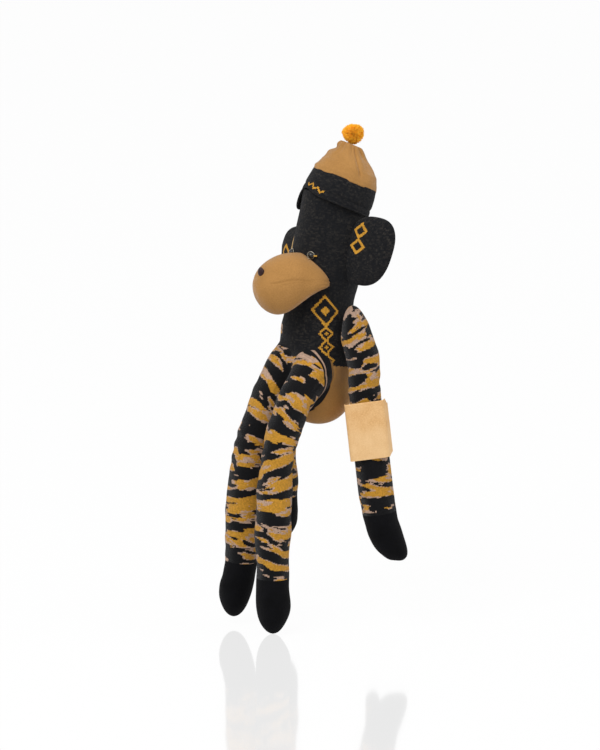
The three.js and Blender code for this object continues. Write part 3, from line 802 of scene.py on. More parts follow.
def gold_motif(x, y):
    """A column of joined diamonds under a larger one, counted in stitches from the column's foot."""
    chain = np.abs(np.abs(x) - 4.4 * zigzag(y, 11)) < 0.9
    chain &= (y > 0) & (y < 33)
    dots = (np.abs(x) + np.abs((y % 11) - 5.5) < 1.6) & (y > 0) & (y < 33)
    crown = np.abs(np.abs(x) + np.abs(y - 45) * 0.85 - 9.5) < 1.1
    heart = np.abs(x) + np.abs(y - 45) < 3.6
    return chain | dots | crown | heart


def build_body():
    sides = round(2 * math.pi * TORSO_RADIUS / WALE)
    dome, dome_full = domed_reaches(0, SEAT_DOME + 2, COURSE, low_dome=SEAT_DOME, dome_rings=36)
    fine = np.arange(SEAT_DOME + 2 + COURSE, NECK_REACH + 20, COURSE)
    coarse = np.arange(fine[-1] + 2.2, NECK_REACH + SKIN_TOP, 2.2)
    reaches = np.concatenate([dome, fine, coarse])
    fullness = np.concatenate([dome_full, np.ones(len(fine) + len(coarse))])
    grid, spoke = BODY.rings(reaches, fullness, sides)
    amount = 0.5 * eased(reaches, 20, 45)[:, None, None]
    grid = grid + spoke * amount * (lumps(grid, 26, 3) * 0.8 + lumps(grid, 11, 4) * 0.25)[..., None]
    grid[..., 2] = np.maximum(grid[..., 2], BODY_BOTTOM + SEAT_FLAT_DEPTH * 0.6)
    swelled = swell_to_union(grid, spoke, body_distance, both_legs)
    under_thighs = eased(-grid[..., 2:], 60, 74) * eased(-grid[..., 1:2], -4, 8)
    grid = grid + (swelled - grid) * (1 - UNDER_THIGH_DAMPING * under_thighs)
    middle = (grid[:-1] + grid[1:]) / 2
    heel_normal = turned([0, 0, 1.0], -HEEL_TILT, 0)
    above = (middle - [0, 0, HEEL_LINE]) @ heel_normal > 0
    azimuth = np.degrees(np.arctan2(middle[..., 0], -middle[..., 1]))
    x = radians(azimuth - TORSO_MOTIF_TURN) * TORSO_RADIUS / WALE
    y = (reaches[:-1, None] - (HEEL_LINE - BODY_BOTTOM) - 1) / COURSE
    motif = gold_motif(x, y)
    between = np.abs(middle[..., 0]) < HIP_OUT
    lap_top = LAP_TOP + 1.2 * lumps(middle, 6, 9)
    lap = between & (middle[..., 1] < -8) & (middle[..., 2] < lap_top) & (middle[..., 2] > LAP_BOTTOM)
    low, high = ends(grid)
    body = skin("body_skin", grid, high_pole=high, keep=above & ~lap, values={"motif": motif})
    under = eased(-grid[..., 2], 66, 76) * (11.5 - both_legs(grid))
    band = np.clip(np.maximum(heel_band(grid), under), 0, BAND_TOTAL)
    seat = skin("seat_skin", grid, low_pole=low, keep=~above & ~lap, points={"band": band})
    front = skin("lap_skin", grid, keep=lap)
    camouflage = camouflage_knit("lap_camouflage", sides, TORSO_RADIUS, 71.0)
    dress(front, camouflage, "torso_body", "camouflage_knit", fill=0.8)
    heather = heather_knit("heather", sides, TORSO_RADIUS)
    dress(body, heather, None, "heather_knit", "torso", "head", fill=0.8)
    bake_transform(body)
    tan = tan_knit("tan_seat", wales=236, radius=TORSO_RADIUS)
    dress(seat, tan, "torso_body", "tan_knit", "seat_heel", fill=0.8)


def flip(*pieces):
    """Turns faces to look outwards where the path runs downwards."""
    for piece in pieces:
        piece.data.flip_normals()


def sock(upper, lower, grid, cut, poles, camouflage, black, points=None):
    """A limb's camouflage tube, which gets no body here, and the black end after it, on the limb's body.
    """
    tube = skin(upper + "_skin", grid[: cut + 1], low_pole=poles[0], points=points)
    end = skin(lower + "_skin", grid[cut:], high_pole=poles[1])
    flip(tube, end)
    dress(tube, camouflage, None, "camouflage_knit", upper, fill=0.75)
    dress(end, black, upper + "_body", "black_knit", lower, fill=0.75)
    return tube


# Legs and feet


def build_leg(name):
    side = side_of(name)
    tube = LEGS[name]
    ankle = tube.length - FOOT_LENGTH
    sides = 72
    reaches, fullness = domed_reaches(-16, tube.length, 1.8, low_dome=17, high_dome=29)
    grid, spoke = tube.rings(reaches, fullness, sides, turn=90)
    root = eased(reaches, 30, 4)[:, None, None]
    outwards = np.linalg.norm(grid - tube.point(reaches)[:, None], axis=2, keepdims=True)
    widened = root * (HIP_HALF[1] - outwards) * fullness[:, None, None]
    grid = grid + spoke * widened * np.abs(spoke[..., 1:2]) ** 0.5
    knee = hill(reaches, KNEE_REACH, 22)[:, None]
    creases = np.sin(reaches * 0.55 + 4 * lumps(grid[:, 0], 60, 5))[:, None]
    swell = 0.7 * lumps(grid, 21, 20 + side) + 0.3 * lumps(grid, 9, 30 + side) + 0.45 * knee * creases
    soft = eased(reaches, 10, 30) * (1 - 0.6 * eased(reaches, ankle + 20, tube.length))
    grid = grid + spoke * (soft[:, None] * swell)[..., None]
    swelled = swell_to_union(grid, spoke, lambda p: leg_distance(p, name), body_distance, sink=0.8)
    rear = eased(spoke[..., 1:2], 0.0, 0.5)
    grid = grid + (swelled - grid) * (1 - rear)
    toes = eased(reaches, ankle - 5, ankle + 35)[:, None, None] * (side < 0)
    grid = grid - toes * RIGHT_TOES_ASIDE * IMAGE_RIGHT
    past = np.maximum(eased(-grid[..., 2], 74, 80), eased(-grid[..., 1], 38, 44)) * BAND_TOTAL
    band = np.clip(np.maximum(heel_band(grid), past), 0, BAND_TOTAL)
    cut = np.searchsorted(reaches, ankle)
    poles = tube.point(-16.0), ends(grid)[1] + tube.tangent(tube.length) * 0.3
    camouflage = camouflage_knit(name + "_leg_camouflage", 96, 16.5, 3.7 * side + 11, heel=True)
    black = black_knit(name + "_foot_black", 84, 16)
    points = {"band": band[: cut + 1]}
    leg = sock(name + "_leg", name + "_foot", grid, cut, poles, camouflage, black, points)
    along = tube.tangent(4.0)
    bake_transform(leg)


# Arms, hands and the paper sleeve


def arm_sway(name, reach):
    """How far a limp arm hangs off its straight line, towards the photo's right."""
    if name == "left":
        sway = np.interp(reach, [66, 86, 178, 190, 210, 240], [0, -0.6, -3.7, -3.8, -2.9, 0])
        return sway + 3.0 * hill(reach, 58, 20)
    return -RIGHT_ARM_BOW * hill(reach, 138, 42)


def arm_tube(side, back, lean, inset):
    direction = unit(np.array([side * math.tan(radians(ARM_SPLAY)), math.tan(radians(lean)), -1]))
    top = np.array([side * (SHOULDER_OUT - inset), back, SHOULDER_HEIGHT]) - direction * ARM_TOP
    cuff = ARM_LENGTH - HAND_LENGTH
    stations = [
        (0, 15.9 - inset),
        (42, 15.9 - inset),
        (ELBOW_REACH, 15.0),
        (cuff - FOREARM_ABOVE_CUFF, FOREARM_RADIUS[side]),
        (cuff, CUFF_RADIUS[side]),
        (ARM_LENGTH - 22, 15.7),
        (ARM_LENGTH, 15.7),
    ]
    return Tube([top, top + direction * ARM_LENGTH / 2, top + direction * ARM_LENGTH], stations)


ARMS = {
    "left": arm_tube(1, back=5.6, lean=3.9, inset=0),
    "right": arm_tube(-1, back=11, lean=1.5, inset=RIGHT_ARM_TOP_INSET),
}


def build_arm(name):
    side = side_of(name)
    tube = ARMS[name]
    cuff = ARM_LENGTH - HAND_LENGTH
    top_dome = ARM_TOP_DOMES[name]
    reaches, fullness = domed_reaches(0, ARM_LENGTH, 1.8, low_dome=top_dome, high_dome=23, dome_rings=24)
    grid, spoke = tube.rings(reaches, fullness, 72, turn=90)
    grid = grid + arm_sway(name, reaches)[:, None, None] * IMAGE_RIGHT
    elbow = hill(reaches, ELBOW_REACH, 16)[:, None]
    creases = np.sin(reaches * 0.6 + 4 * lumps(grid[:, 0], 50, 6))[:, None]
    swell = 0.6 * lumps(grid, 19, 40 + side) + 0.25 * lumps(grid, 8, 50 + side) + 0.4 * elbow * creases
    under_paper = eased(reaches, 80, 92) * (1 - eased(reaches, 178, 190)) * (name == "left")
    soft = eased(reaches, 4, 20) * (1 - under_paper)
    grid = grid + spoke * (soft[:, None] * swell)[..., None]
    if name == "right":
        grid[..., 2] -= RIGHT_ARM_DROOP * eased(reaches, 90, cuff)[:, None]
    bend = eased(reaches, cuff, ARM_LENGTH + 12)[:, None, None]
    grid = grid + bend * HAND_BEND * [side, 1, 0]
    aside = (grid - grid.mean(axis=1, keepdims=True)) @ IMAGE_RIGHT
    corner = eased(aside, -2, 14) * eased(reaches, ARM_LENGTH - 34, ARM_LENGTH - 8)[:, None]
    grid = grid + (corner * (side > 0))[..., None] * LEFT_HAND_CORNER
    grid[..., 0] = side * np.maximum(side * grid[..., 0], TORSO_RADIUS + SIDE_GAP)
    cut = np.searchsorted(reaches, cuff)
    poles = tube.point(0.0), ends(grid)[1] + tube.tangent(0.0) * 0.4
    camouflage = camouflage_knit(name + "_arm_camouflage", 94, 16, 5.1 * side + 29)
    black = black_knit(name + "_hand_black", 82, 16)
    arm = sock(name + "_arm", name + "_hand", grid, cut, poles, camouflage, black)
    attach(arm, name + "_arm_body")


def paper_outline(half, corner):
    """Points round a square with round corners, close together on its straight stretches too."""
    angles = np.linspace(0, math.pi / 2, 7)
    points = []
    for turn in np.arange(4) * math.pi / 2:
        centre = turned([half - corner, half - corner, 0], math.degrees(turn), 2)
        for angle in angles + turn:
            points.append(centre + [corner * math.cos(angle), corner * math.sin(angle), 0])
    closer = []
    for start, end in zip(points, points[1:] + points[:1]):
        count = 24 if np.linalg.norm(end - start) > 5 else 1
        closer += [start + (end - start) * share for share in np.arange(count) / count]
    return np.array(closer)


def build_paper():
    tube = ARMS["left"]
    low = ARM_LENGTH - HAND_LENGTH - PAPER_ABOVE_CUFF
    along = tube.tangent(low)
    x_axis = unit(np.cross([0, 1.0, 0], -along))
    y_axis = np.cross(-along, x_axis)
    wide = np.array([PAPER_WIDER, 1, 1])
    inner = paper_outline(PAPER_HALF, PAPER_CORNER)
    outer = paper_outline(PAPER_HALF + PAPER_THICKNESS, PAPER_CORNER + 0.4)
    outer[:, 1] -= 0.4 * (outer[:, 0] < PAPER_FLAP - PAPER_HALF) * (outer[:, 1] < 0)
    inner, outer = (turned(outline * wide, PAPER_TURN, 2) for outline in (inner, outer))
    behind = eased(outer @ [-IMAGE_RIGHT[1], IMAGE_RIGHT[0], 0], -0.7 * PAPER_HALF, 0.7 * PAPER_HALF)
    rows = np.linspace(0, PAPER_TALL, 40)
    heights = np.concatenate([rows, rows[::-1], [0.0]])
    rings = []
    for outline, height in zip([outer] * 40 + [inner] * 40 + [outer], heights):
        reach = low - height * (1 - 0.15 * behind)
        middle = tube.point(reach) + arm_sway("left", reach)[:, None] * IMAGE_RIGHT
        rings.append(middle + outline[:, :1] * x_axis + outline[:, 1:2] * y_axis)
    rings = np.array(rings)
    bulge = lumps(rings, 34, 61) * 0.25 + lumps(rings, 12, 62) * 0.12
    crease = sum(hill(heights, at, 0.8) for at in (3.5, PAPER_TALL - 3.5))
    outward = unit(rings - rings.mean(axis=1, keepdims=True))
    rings += outward * (np.maximum(bulge, -0.05) - 0.1 * crease[:, None])[..., None]
    pale = np.tile(1 - eased(heights[:-1], 20, 34), (rings.shape[1], 1)).T
    paper = skin("paper_sleeve_skin", rings, values={"pale": pale})
    shader = Shader("kraft", 0.75)
    place = shader.place()
    fibre = shader.noise(place, scale=900, detail=4.0, roughness=0.7)
    blotch = shader.noise(place, scale=90)
    paint = shader.mix(shader.ramp(fibre, 0.35, 0.7), colour("#cf9f68"), colour("#e0b680"))
    paint = shader.mix(shader.times(shader.ramp(blotch, 0.35, 0.7), 0.4), paint, colour("#e6c08e"))
    paint = shader.mix(shader.times(shader.attribute("pale"), 0.35), paint, colour("#ecca9a"))
    kraft = shader.finish(paint, fibre, 0.08 * MM, 0.4)
    dress(paper, kraft, "paper_sleeve_body", "kraft_paper", "paper_sleeve")


# Tail


def build_tail():
    root = np.array([0.0, 33.0, -14.0])
    points = [root, root + [0, 18, -7], root + [0, 32, -42], root + [0, 37, -178]]
    tube = Tube(points, [(0, 8.6), (14, 7.7), (60, 7.6), (210, 6.6)])
    reaches, fullness = domed_reaches(-6, tube.length, 1.8, low_dome=6, high_dome=8)
    grid, spoke = tube.rings(reaches, fullness, 40)
    grid = grid + spoke * (0.35 * lumps(grid, 14, 71) * eased(reaches, 6, 20)[:, None])[..., None]
    cut = np.searchsorted(reaches, tube.length - 16)
    tail = skin("tail_skin", grid[: cut + 1], low_pole=tube.point(-6.0))
    tip = skin("tail_tip_skin", grid[cut:], high_pole=tube.point(tube.length))
    flip(tail, tip)
    camouflage = camouflage_knit("tail_camouflage", 44, 7.6, 53.0)
    dress(tail, camouflage, "tail_body", "camouflage_knit", "tail", fill=0.75)
    dress(tip, black_knit("tail_tip_black", 36, 7), "tail_body", "black_knit", fill=0.75)


# Muzzle, nose and eyes


def cornered(points):
    """The muzzle narrows to a corner on each side of the face, where its seam turns back under it, and
    sags a little in front."""
    x, y, z = np.moveaxis(points, -1, 0)
    back = eased(y, *MUZZLE_SPREAD_LIMITS)
    aside = np.minimum(np.abs(x) / MUZZLE_HALF[0], 1)
    upper = 1 - UPPER_PINCH * back * aside
    sag = MUZZLE_SAG * eased(-y, *MUZZLE_SAG_LIMITS)
    lower = 1 + sag - LOWER_PINCH * eased(y, *LOWER_PINCH_LIMITS)
    return np.stack([x * (1 + MUZZLE_SPREAD * back), y, z * np.where(z > 0, upper, lower)], axis=-1)


def build_muzzle():
    sides, rings = 150, 90
    angle = np.linspace(0, math.pi, rings + 2)[1:-1]
    turn = turns(sides)
    width, length, tall = MUZZLE_HALF
    ring = np.sin(angle)[:, None]
    x = width * ring * np.cos(turn)
    z = tall * ring * np.sin(turn)
    y = -length * np.cos(angle)[:, None] + 0 * turn
    grid = np.stack([x, y, z], axis=-1)
    outward = unit(grid / MUZZLE_HALF**2)
    grid = cornered(grid + outward * (0.35 * lumps(grid, 22, 81))[..., None])
    mouth_height = MOUTH_HEIGHT + MOUTH_RISE * eased(y, -36, -20) * (1 - eased(y, -16, 0))
    reach = eased(y, -38, -33) * (1 - eased(y, -3, 4))
    line = hill(z, mouth_height, 0.9) * reach
    second = 0.6 * hill(z, mouth_height - 2.6, 0.8) * reach * eased(y, -34, -26)
    pucker = 0.35 * np.sin(31 * turn + 2 * np.sin(3 * turn)) * eased(y, 0, 18) * (z < 8)
    grid = grid - outward * (0.45 * line + 0.2 * second + pucker)[..., None]
    grid = from_head(turned(grid, HEAD_LEAN, 0) + MUZZLE_CENTRE)
    # painted shade: the mouth's pressed-in lines are painted darker
    painted_crease_shade = np.maximum(line, second)[:-1] * 0.55
    muzzle = skin("muzzle_skin", grid, *ends(grid), values={"band": np.zeros_like(painted_crease_shade), "painted_crease_shade": painted_crease_shade})
    flip(muzzle)
    tan = tan_knit("tan_muzzle", wales=200, radius=28.5, course=0.85)
    dress(muzzle, tan, "head_body", "tan_knit", "muzzle", fill=0.9)


def ball(name, centre, radii, point_to, stretch=0.0, rows=24):
    """An egg whose long axis looks in a direction; stretch draws its far end out to a point."""
    angle = np.linspace(0, math.pi, rows + 2)[1:-1]
    turn = turns(2 * rows)
    narrow = 1 - stretch * (1 - np.cos(angle)) / 2
    ring = (np.sin(angle) * narrow)[:, None]
    along = np.cos(angle)[:, None] + 0 * turn
    grid = np.stack([ring * np.cos(turn), ring * np.sin(turn), along], axis=-1) * radii
    z_axis = unit(np.array(point_to, float))
    x_axis = unit(np.cross([0, 1.0, 0.01], z_axis))
    axes = np.stack([x_axis, np.cross(z_axis, x_axis), z_axis])
    piece = skin(name, grid @ axes + centre, centre + z_axis * radii[2], centre - z_axis * radii[2])
    flip(piece)
    return piece


def build_nose():
    rise = radians(NOSE_RISE)
    length, tall = MUZZLE_HALF[1:]
    reach = np.array([0, -(length + NOSE_PROUD), tall + NOSE_PROUD])
    place = reach * [0, math.cos(rise), math.sin(rise)] - [NOSE_ASIDE, 0, 0]
    place = from_head(turned(place, HEAD_LEAN, 0) + MUZZLE_CENTRE)
    nose = ball("nose", place, NOSE_RADII, [0, 0.25, -1], stretch=0.35)
    material = plain("brown_bead", "#2b1213", 0.4, 1.5, 0.03, gloss=0.25)
    dress(nose, material, "head_body", "brown_bead", "nose_bead")


def build_eye(name):
    side = side_of(name)
    turn = radians(EYE_TURNS[name])
    outward = np.array([math.sin(turn), -math.cos(turn), 0])
    surface = BODY.radius(NECK_REACH + EYE_HEIGHT)
    base = outward * surface + [0, 0, EYE_HEIGHT - EYE_DROPS[name]]
    across = np.array([math.cos(turn), math.sin(turn), 0])
    up = np.array([0, 0, 1.0])
    place = from_head(base + across * 0.9 + outward * 2.1)
    bead = ball(name + "_eye_bead_round", place, BEAD_RADII, from_head(outward) - NECK)
    coat = {"Coat_Weight": 0.25, "Coat_Roughness": 0.04}
    shiny = plain(name + "_black_glass", "#060607", 0.16, 3, 0.01, gloss=0.3, **coat)
    dress(bead, shiny, "head_body", "black_bead", name + "_eye_bead")
    angle = turns(36)[:, None]
    ring = base + outward * 0.9 + (np.cos(angle) * across + np.sin(angle) * up) * SEQUIN_RADIUS
    sequin = wire(name + "_sequin", from_head(ring), 0.5, closed=True)
    metal = plain(name + "_sequin_metal", "#8d877a", 0.34, 0.8, 0.02, Metallic=0.85)
    dress(sequin, metal, "head_body", "pale_metal", name + "_eye_sequin")
    stitch_from = base + across * side * 2.6 + outward * 1.6
    stitch_to = base + across * side * 6.4 + outward * 0.6 + up * 0.4
    middle = (stitch_from + stitch_to) / 2 + outward * 0.9
    stitch = wire(name + "_eye_stitch", from_head(smooth_line([stitch_from, middle, stitch_to], 8)), 0.8)
    thread = plain(name + "_gold_thread", "#c0902f", 0.7, 0.5, 0.1)
    dress(stitch, thread, "head_body", "heather_knit")


def build_ear_thread():
    """A tan thread down the front of the right ear."""
    line = smooth_line([(-50.6, 1.2, 62), (-51.6, 1.0, 54), (-52.4, 1.2, 46), (-53.2, 1.6, 38)], 8)
    thread = wire("right_ear_thread", from_head(line), 0.6)
    dress(thread, plain("tan_thread", "#c9a56e", 0.7, 0.5, 0.1), "head_body", "heather_knit")


def wire(name, line, radius, closed=False, sides=10):
    """A thin round wire or thread along points in the doll's frame."""
    if closed:
        ahead, behind = np.roll(line, -1, axis=0), np.roll(line, 1, axis=0)
    else:
        ahead = np.vstack([line[1:], 2 * line[-1:] - line[-2:-1]])
        behind = np.vstack([2 * line[:1] - line[1:2], line[:-1]])
    along = unit(ahead - behind)
    side = unit(np.cross(along, [0.31, 0.17, 0.93]))
    grid = line[:, None] + spokes(along, side, turns(sides)) * radius
    if closed:
        return skin(name, np.vstack([grid, grid[:1]]))
    return skin(name, grid, line[0], line[-1])


# Ears


def build_ear(name):
    side = side_of(name)
    centre = LEFT_EAR if name == "left" else RIGHT_EAR
    rows, sides = 34, 132
    share = np.linspace(0, 1, rows + 1)[1:]
    turn = turns(sides)
    powers = np.abs(np.cos(turn)) ** EAR_SQUARENESS + np.abs(np.sin(turn)) ** EAR_SQUARENESS
    square = powers ** (-1 / EAR_SQUARENESS)
    puff = np.sqrt(np.maximum(1 - share**2.6, 0))
    half = EAR_THICKNESS / 2
    front, back = [], []
    for out, full in zip(share, puff):
        x = out * EAR_WIDTH / 2 * square * (np.cos(turn) + side * EAR_SHEAR * np.sin(turn))
        z = out * EAR_HEIGHT / 2 * square * np.sin(turn)
        front.append(np.stack([x, np.full(sides, -full * half), z], axis=-1))
        back.append(np.stack([x, np.full(sides, full * half), z], axis=-1))
    seam = front[-1] * [1.012, 0, 1.012]
    grid = np.array(front[:-1] + [seam] + back[::-1][1:])
    wave = 0.7 * lumps(grid, 20, 90 + side) + 0.3 * lumps(grid, 8, 95 + side)
    grid[..., 1] += wave * (np.abs(grid[..., 1]) / half)
    out = np.linalg.norm(grid[..., [0, 2]] / [EAR_WIDTH / 2, EAR_HEIGHT / 2], axis=-1)
    grid[..., 1] *= 1 - 0.1 * hill(out, 0.9, 0.05)
    if name == "right":
        grid[..., 0] += RIGHT_EAR_LEAN * np.maximum(grid[..., 2], 0)
        grid[..., 2] *= np.where(grid[..., 2] > 0, RIGHT_EAR_FLATTENED, 1)
    grid = turned(grid, side * EAR_SWEEP, 2) + centre
    motif = ear_motif(grid, centre, side)
    grid = from_head(grid)
    ear = skin(name + "_ear_skin", grid, *ends(grid), values={"motif": motif})
    lay_flat_uvs(ear)
    flip(ear)
    heather = heather_knit(name + "_ear_heather", 100, 40)
    dress(ear, heather, "head_body", "heather_knit", name + "_ear", fill=0.6)


def ear_motif(grid, centre, side):
    """Small gold diamonds on the front of an ear: two on the left one, one above the other."""
    middle = (grid[:-1] + grid[1:]) / 2
    inward, heights = (6, (16, 3)) if side > 0 else (-9, (-4,))
    x = (side * (middle[..., 0] - centre[0]) + inward) / WALE
    z = (middle[..., 2] - centre[2]) / COURSE
    outward = (middle - centre) @ turned([0, -1.0, 0], side * EAR_SWEEP, 2)
    rings = [np.abs(np.abs(x) + np.abs(z - at) * 0.8 - 4.5) < 1.2 for at in heights]
    return np.any(rings, axis=0) & (outward > 0)


def lay_flat_uvs(piece):
    """Gives a flat piece UVs straight from its width and height, so that its rows run level."""
    mesh = piece.data
    points = np.array([v.co for v in mesh.vertices])
    corners = np.array([loop.vertex_index for loop in mesh.loops])
    across = (points[corners, 0] - points[:, 0].min()) / (100 * WALE * MM)
    uv = np.stack([across, points[corners, 2]], axis=-1)
    mesh.uv_layers["knit"].data.foreach_set("uv", uv.astype(np.float32).ravel())


# Hat


def build_brim():
    sides = 160
    turn = turns(sides)
    azimuth = azimuths(turn)
    arch = BRIM_ARCH * hill(azimuth, *BRIM_ARCH_PLACE)
    droop = BRIM_DROOP * hill(azimuth, *BRIM_DROOP_PLACE)
    lip = -BRIM_LIP * hill(azimuth, *BRIM_LIP_PLACE)
    corner = HAT_CORNER * hill(azimuth, *HAT_CORNER_PLACE)
    profile = []
    for t in np.linspace(0, 1, 34):
        radius = BRIM_RADIUS + (CROWN_RADIUS - BRIM_RADIUS) * t + 1.0 * math.sin(math.pi * t)
        profile.append((radius - 0.2, t * BRIM_TALL, 1 - t))
    hem = [(-1.5 - 1.4 * math.cos(a), -1.5 * math.sin(a)) for a in np.linspace(math.pi, 0, 9)[1:-1]]
    hem = [(BRIM_RADIUS + dx + 1.2, dz, 1.0) for dx, dz in hem[::-1]]
    inner = [(BRIM_RADIUS - 1.6 - 1.2 * t, t * BRIM_TALL, 1 - t) for t in np.linspace(0, 0.8, 10)]
    rings = []
    for radius, height, low in inner[::-1] + hem + profile:
        r = radius + lip * low**2 + corner * (1 - low) ** 2
        z = height + (arch - droop) * low
        back = BRIM_SET_BACK * height / BRIM_TALL
        rings.append(np.stack([r * np.cos(turn), r * np.sin(turn) + back, z], axis=-1))
    grid = np.array(rings)
    crease = 0.7 * hill(grid[..., 2], 5.5 + 0.9 * arch, 1.6)
    out = unit(grid * [1, 1, 0])
    grid = grid + out * (0.45 * lumps(grid, 16, 101) - crease)[..., None]
    grid = from_hat(grid)
    row = np.arange(len(grid) - 1)[:, None] - len(inner) - len(hem)
    across = radians(azimuth - BRIM_MOTIF_TURN) * BRIM_RADIUS / WALE
    mark = (np.abs(row - 2.5 - 5.5 * zigzag(across, 6)) < 1.5) & (np.abs(across) < 8.5)
    brim = skin("hat_brim_skin", grid, values={"motif": mark})
    heather = heather_knit("brim_heather", 148, BRIM_RADIUS)
    dress(brim, heather, "head_body", "heather_knit", "hat_brim", fill=0.2)


def build_crown():
    sides, rows = 176, 64
    turn = turns(sides)
    azimuth = azimuths(turn)
    t = np.linspace(0, 1, rows)[:, None]
    gather = eased(t, 0.3, 0.95)
    r = np.interp(t, *CROWN_PROFILE)
    r = r + 0.9 * gather * np.cos(9 * turn + 2.5 * t) + 0.4 * gather * np.cos(17 * turn + 1)
    r += (1.8 * hill(t, 0.46, 0.14) - 3.2 * hill(t, 0.75, 0.09)) * hill(azimuth, -48, 40)
    r += 1.6 * hill(t, 0.5, 0.2) * hill(azimuth, 139, 40)
    r -= 2.2 * hill(azimuth, 78 - 14 * t, 3.4) * eased(t, 0.12, 0.3)
    r -= hill(azimuth, 128 - 30 * t, 5) * eased(t, 0.3, 0.6)
    r += 1.3 * hill(azimuth, 139, 50) * eased(t, 0.7, 0.9)
    r -= 4.0 * hill(azimuth, -41, 46) * hill(t, 0.42, 0.18)
    r += HAT_CORNER * hill(azimuth, *HAT_CORNER_PLACE) * (1 - eased(t, 0.06, 0.2))
    drop = -1.2 * (1 - eased(t, 0, 0.03))
    middle = (CROWN_SEAM + CROWN_RISE * t)[:, None]
    grid = middle + np.stack([r * np.cos(turn), r * np.sin(turn), drop + 0 * r], axis=-1)
    out = unit(grid - middle)
    grid = grid + out * (0.5 * lumps(grid, 13, 111) + 0.2 * lumps(grid, 6, 112))[..., None]
    grid = from_hat(grid)
    low = from_hat(CROWN_SEAM + [0, 0, -1.0])
    none = np.zeros((rows - 1, sides))
    crown = skin("hat_crown_skin", grid, low, ends(grid)[1], values={"band": none, "painted_crease_shade": none})
    tan = tan_knit("tan_crown", wales=210, radius=31, course=0.85)
    dress(crown, tan, "head_body", "tan_knit", "hat_crown", fill=0.5)


def build_pompom():
    """A ball of tapering strands, each with its own tone."""
    centre = from_hat(CROWN_SEAM + CROWN_RISE + unit(CROWN_RISE) * POMPOM_RADIUS)
    vertices, faces, tones = [], [], []
    golden = math.pi * (3 - math.sqrt(5))
    for i in range(POMPOM_STRANDS):
        z = 1 - 2 * (i + 0.5) / POMPOM_STRANDS
        flat = math.sqrt(1 - z * z)
        direction = np.array([flat * math.cos(golden * i), flat * math.sin(golden * i), z])
        direction = unit(direction + RANDOM.normal(0, 0.09, 3))
        side = unit(np.cross(direction, RANDOM.normal(size=3)))
        front = np.cross(direction, side)
        uneven = 1 + 0.1 * lumps(direction * POMPOM_RADIUS, 8, 121)
        reach = POMPOM_RADIUS * uneven * RANDOM.uniform(0.84, 1.07) * (1 - 0.12 * direction[2] ** 2)
        sway = side * RANDOM.uniform(0, 1.6)
        base = len(vertices)
        for out, radius in ((2.0, 0.3), (0.65 * reach, 0.42), (reach * 0.96, 0.34)):
            middle = centre + direction * out + sway * (out / reach) ** 2
            for angle in turns(3):
                vertices.append(middle + radius * (side * math.cos(angle) + front * math.sin(angle)))
        vertices.append(centre + direction * reach + sway)
        tone = RANDOM.uniform(0, 1)
        for ring in range(2):
            for k in range(3):
                a, b = base + 3 * ring + k, base + 3 * ring + (k + 1) % 3
                faces.append((a, b, b + 3, a + 3))
                tones.append(tone)
        for k in range(3):
            faces.append((base + 6 + k, base + 6 + (k + 1) % 3, base + 9))
            tones.append(tone)
    pompom = make_object("pompom_yarn", vertices, faces, np.zeros((sum(map(len, faces)), 2)))
    pompom.data.attributes.new("tone", "FLOAT", "FACE").data.foreach_set("value", tones)
    shader = Shader("pompom", 0.9, Sheen_Weight=0.1)
    paint = shader.mix(shader.attribute("tone"), colour("#f8a212"), colour("#ffc93e"))
    yarn = shader.finish(paint, shader.noise(shader.place(), scale=2500), 0.1 * MM)
    dress(pompom, yarn, "head_body", "pompom_yarn", "pompom")


# Stage, lights and camera


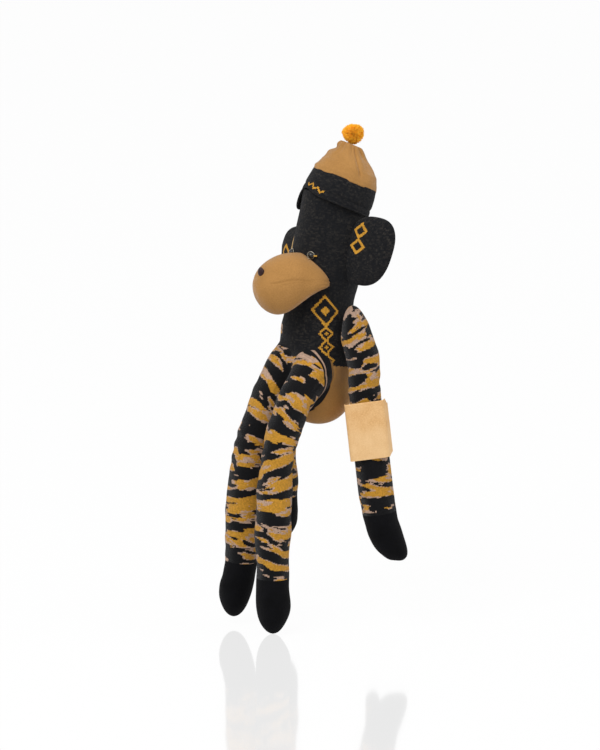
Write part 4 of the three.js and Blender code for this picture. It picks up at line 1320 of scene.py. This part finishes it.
def build_stage():
    """A white floor that mirrors faintly, and a white studio whose light on the doll is softer."""
    bpy.ops.mesh.primitive_plane_add(size=60, location=(0, 0, cad_low.z - FLOOR_GAP))
    floor = bpy.context.object
    floor.name = "floor"
    shader = Shader("floor_white", 0.6)
    shader.surface.inputs["Base Color"].default_value = (0.78, 0.78, 0.78, 1)
    glow = shader.node("ShaderNodeEmission", (1, 1, 1, 1), 1.0).outputs[0]
    mirror = shader.node("ShaderNodeBsdfGlossy", (1, 1, 1, 1), 0.07).outputs[0]
    matt = shader.surface.outputs[0]
    bright = shader.blend(FLOOR_SHADOW, shader.blend(FLOOR_MIRROR, glow, mirror), matt)
    final = shader.blend(shader.seen(), matt, bright)
    shader.plug(shader.nodes["Material Output"].inputs["Surface"], final)
    floor.data.materials.append(shader.material)

    world = bpy.data.worlds.new("studio")
    bpy.context.scene.world = world
    sky = Tree(world)
    soft = sky.nodes["Background"]
    sky.plug(soft.inputs["Color"], (0.98, 0.99, 1.0, 1))
    sky.plug(soft.inputs["Strength"], 0.5)
    white = sky.node("ShaderNodeBackground", (1, 1, 1, 1), 1.0)
    final = sky.blend(sky.seen(), soft.outputs[0], white.outputs[0])
    sky.plug(sky.nodes["World Output"].inputs["Surface"], final)


def aimed(data, target, azimuth, elevation, distance):
    """A camera or lamp that looks at a point in metres from the azimuth and elevation in degrees."""
    back = turned(turned([0, -1.0, 0], -elevation, 0), azimuth, 2)
    item = bpy.data.objects.new(data.name, data)
    item.location = target + back * distance
    item.rotation_mode = "QUATERNION"
    item.rotation_quaternion = Vector((-back).tolist()).to_track_quat("-Z", "Y")
    bpy.context.scene.collection.objects.link(item)
    return item


def add_lamp(name, azimuth, elevation, distance, size, power):
    """A soft square lamp aimed at the doll."""
    data = bpy.data.lights.new(name, "AREA")
    data.size, data.energy = size, power
    aimed(data, to_row([0, 0, -50]), azimuth, elevation, distance)


def build_camera():
    """The photo's camera, aimed so that the body tube's middle falls on BODY_PIXEL."""
    aside = [(PHOTO_WIDTH / 2 - BODY_PIXEL[0]) * PIXEL, 0, (BODY_PIXEL[1] - PHOTO_HEIGHT / 2) * PIXEL]
    target = to_row(turned(turned(aside, -CAMERA_ELEVATION, 0), CAMERA_AZIMUTH, 2))
    data = bpy.data.cameras.new("photo_camera")
    data.angle = 2 * math.atan(PHOTO_HEIGHT / 2 * PIXEL * MM / CAMERA_DISTANCE)
    data.clip_end = 50
    camera = aimed(data, target, CAMERA_AZIMUTH, CAMERA_ELEVATION, CAMERA_DISTANCE)
    bpy.context.scene.camera = camera


build_camera()
build_body()
for label in ("left", "right"):
    build_leg(label)
    build_arm(label)
    build_ear(label)
    build_eye(label)
build_paper()
build_tail()
build_muzzle()
build_nose()
build_ear_thread()
build_brim()
build_crown()
build_pompom()
build_stage()
add_lamp("key", azimuth=10, elevation=50, distance=2.2, size=1.3, power=37)
add_lamp("fill", azimuth=130, elevation=36, distance=2.4, size=1.6, power=21)
bpy.context.scene.view_settings.view_transform = "Standard"
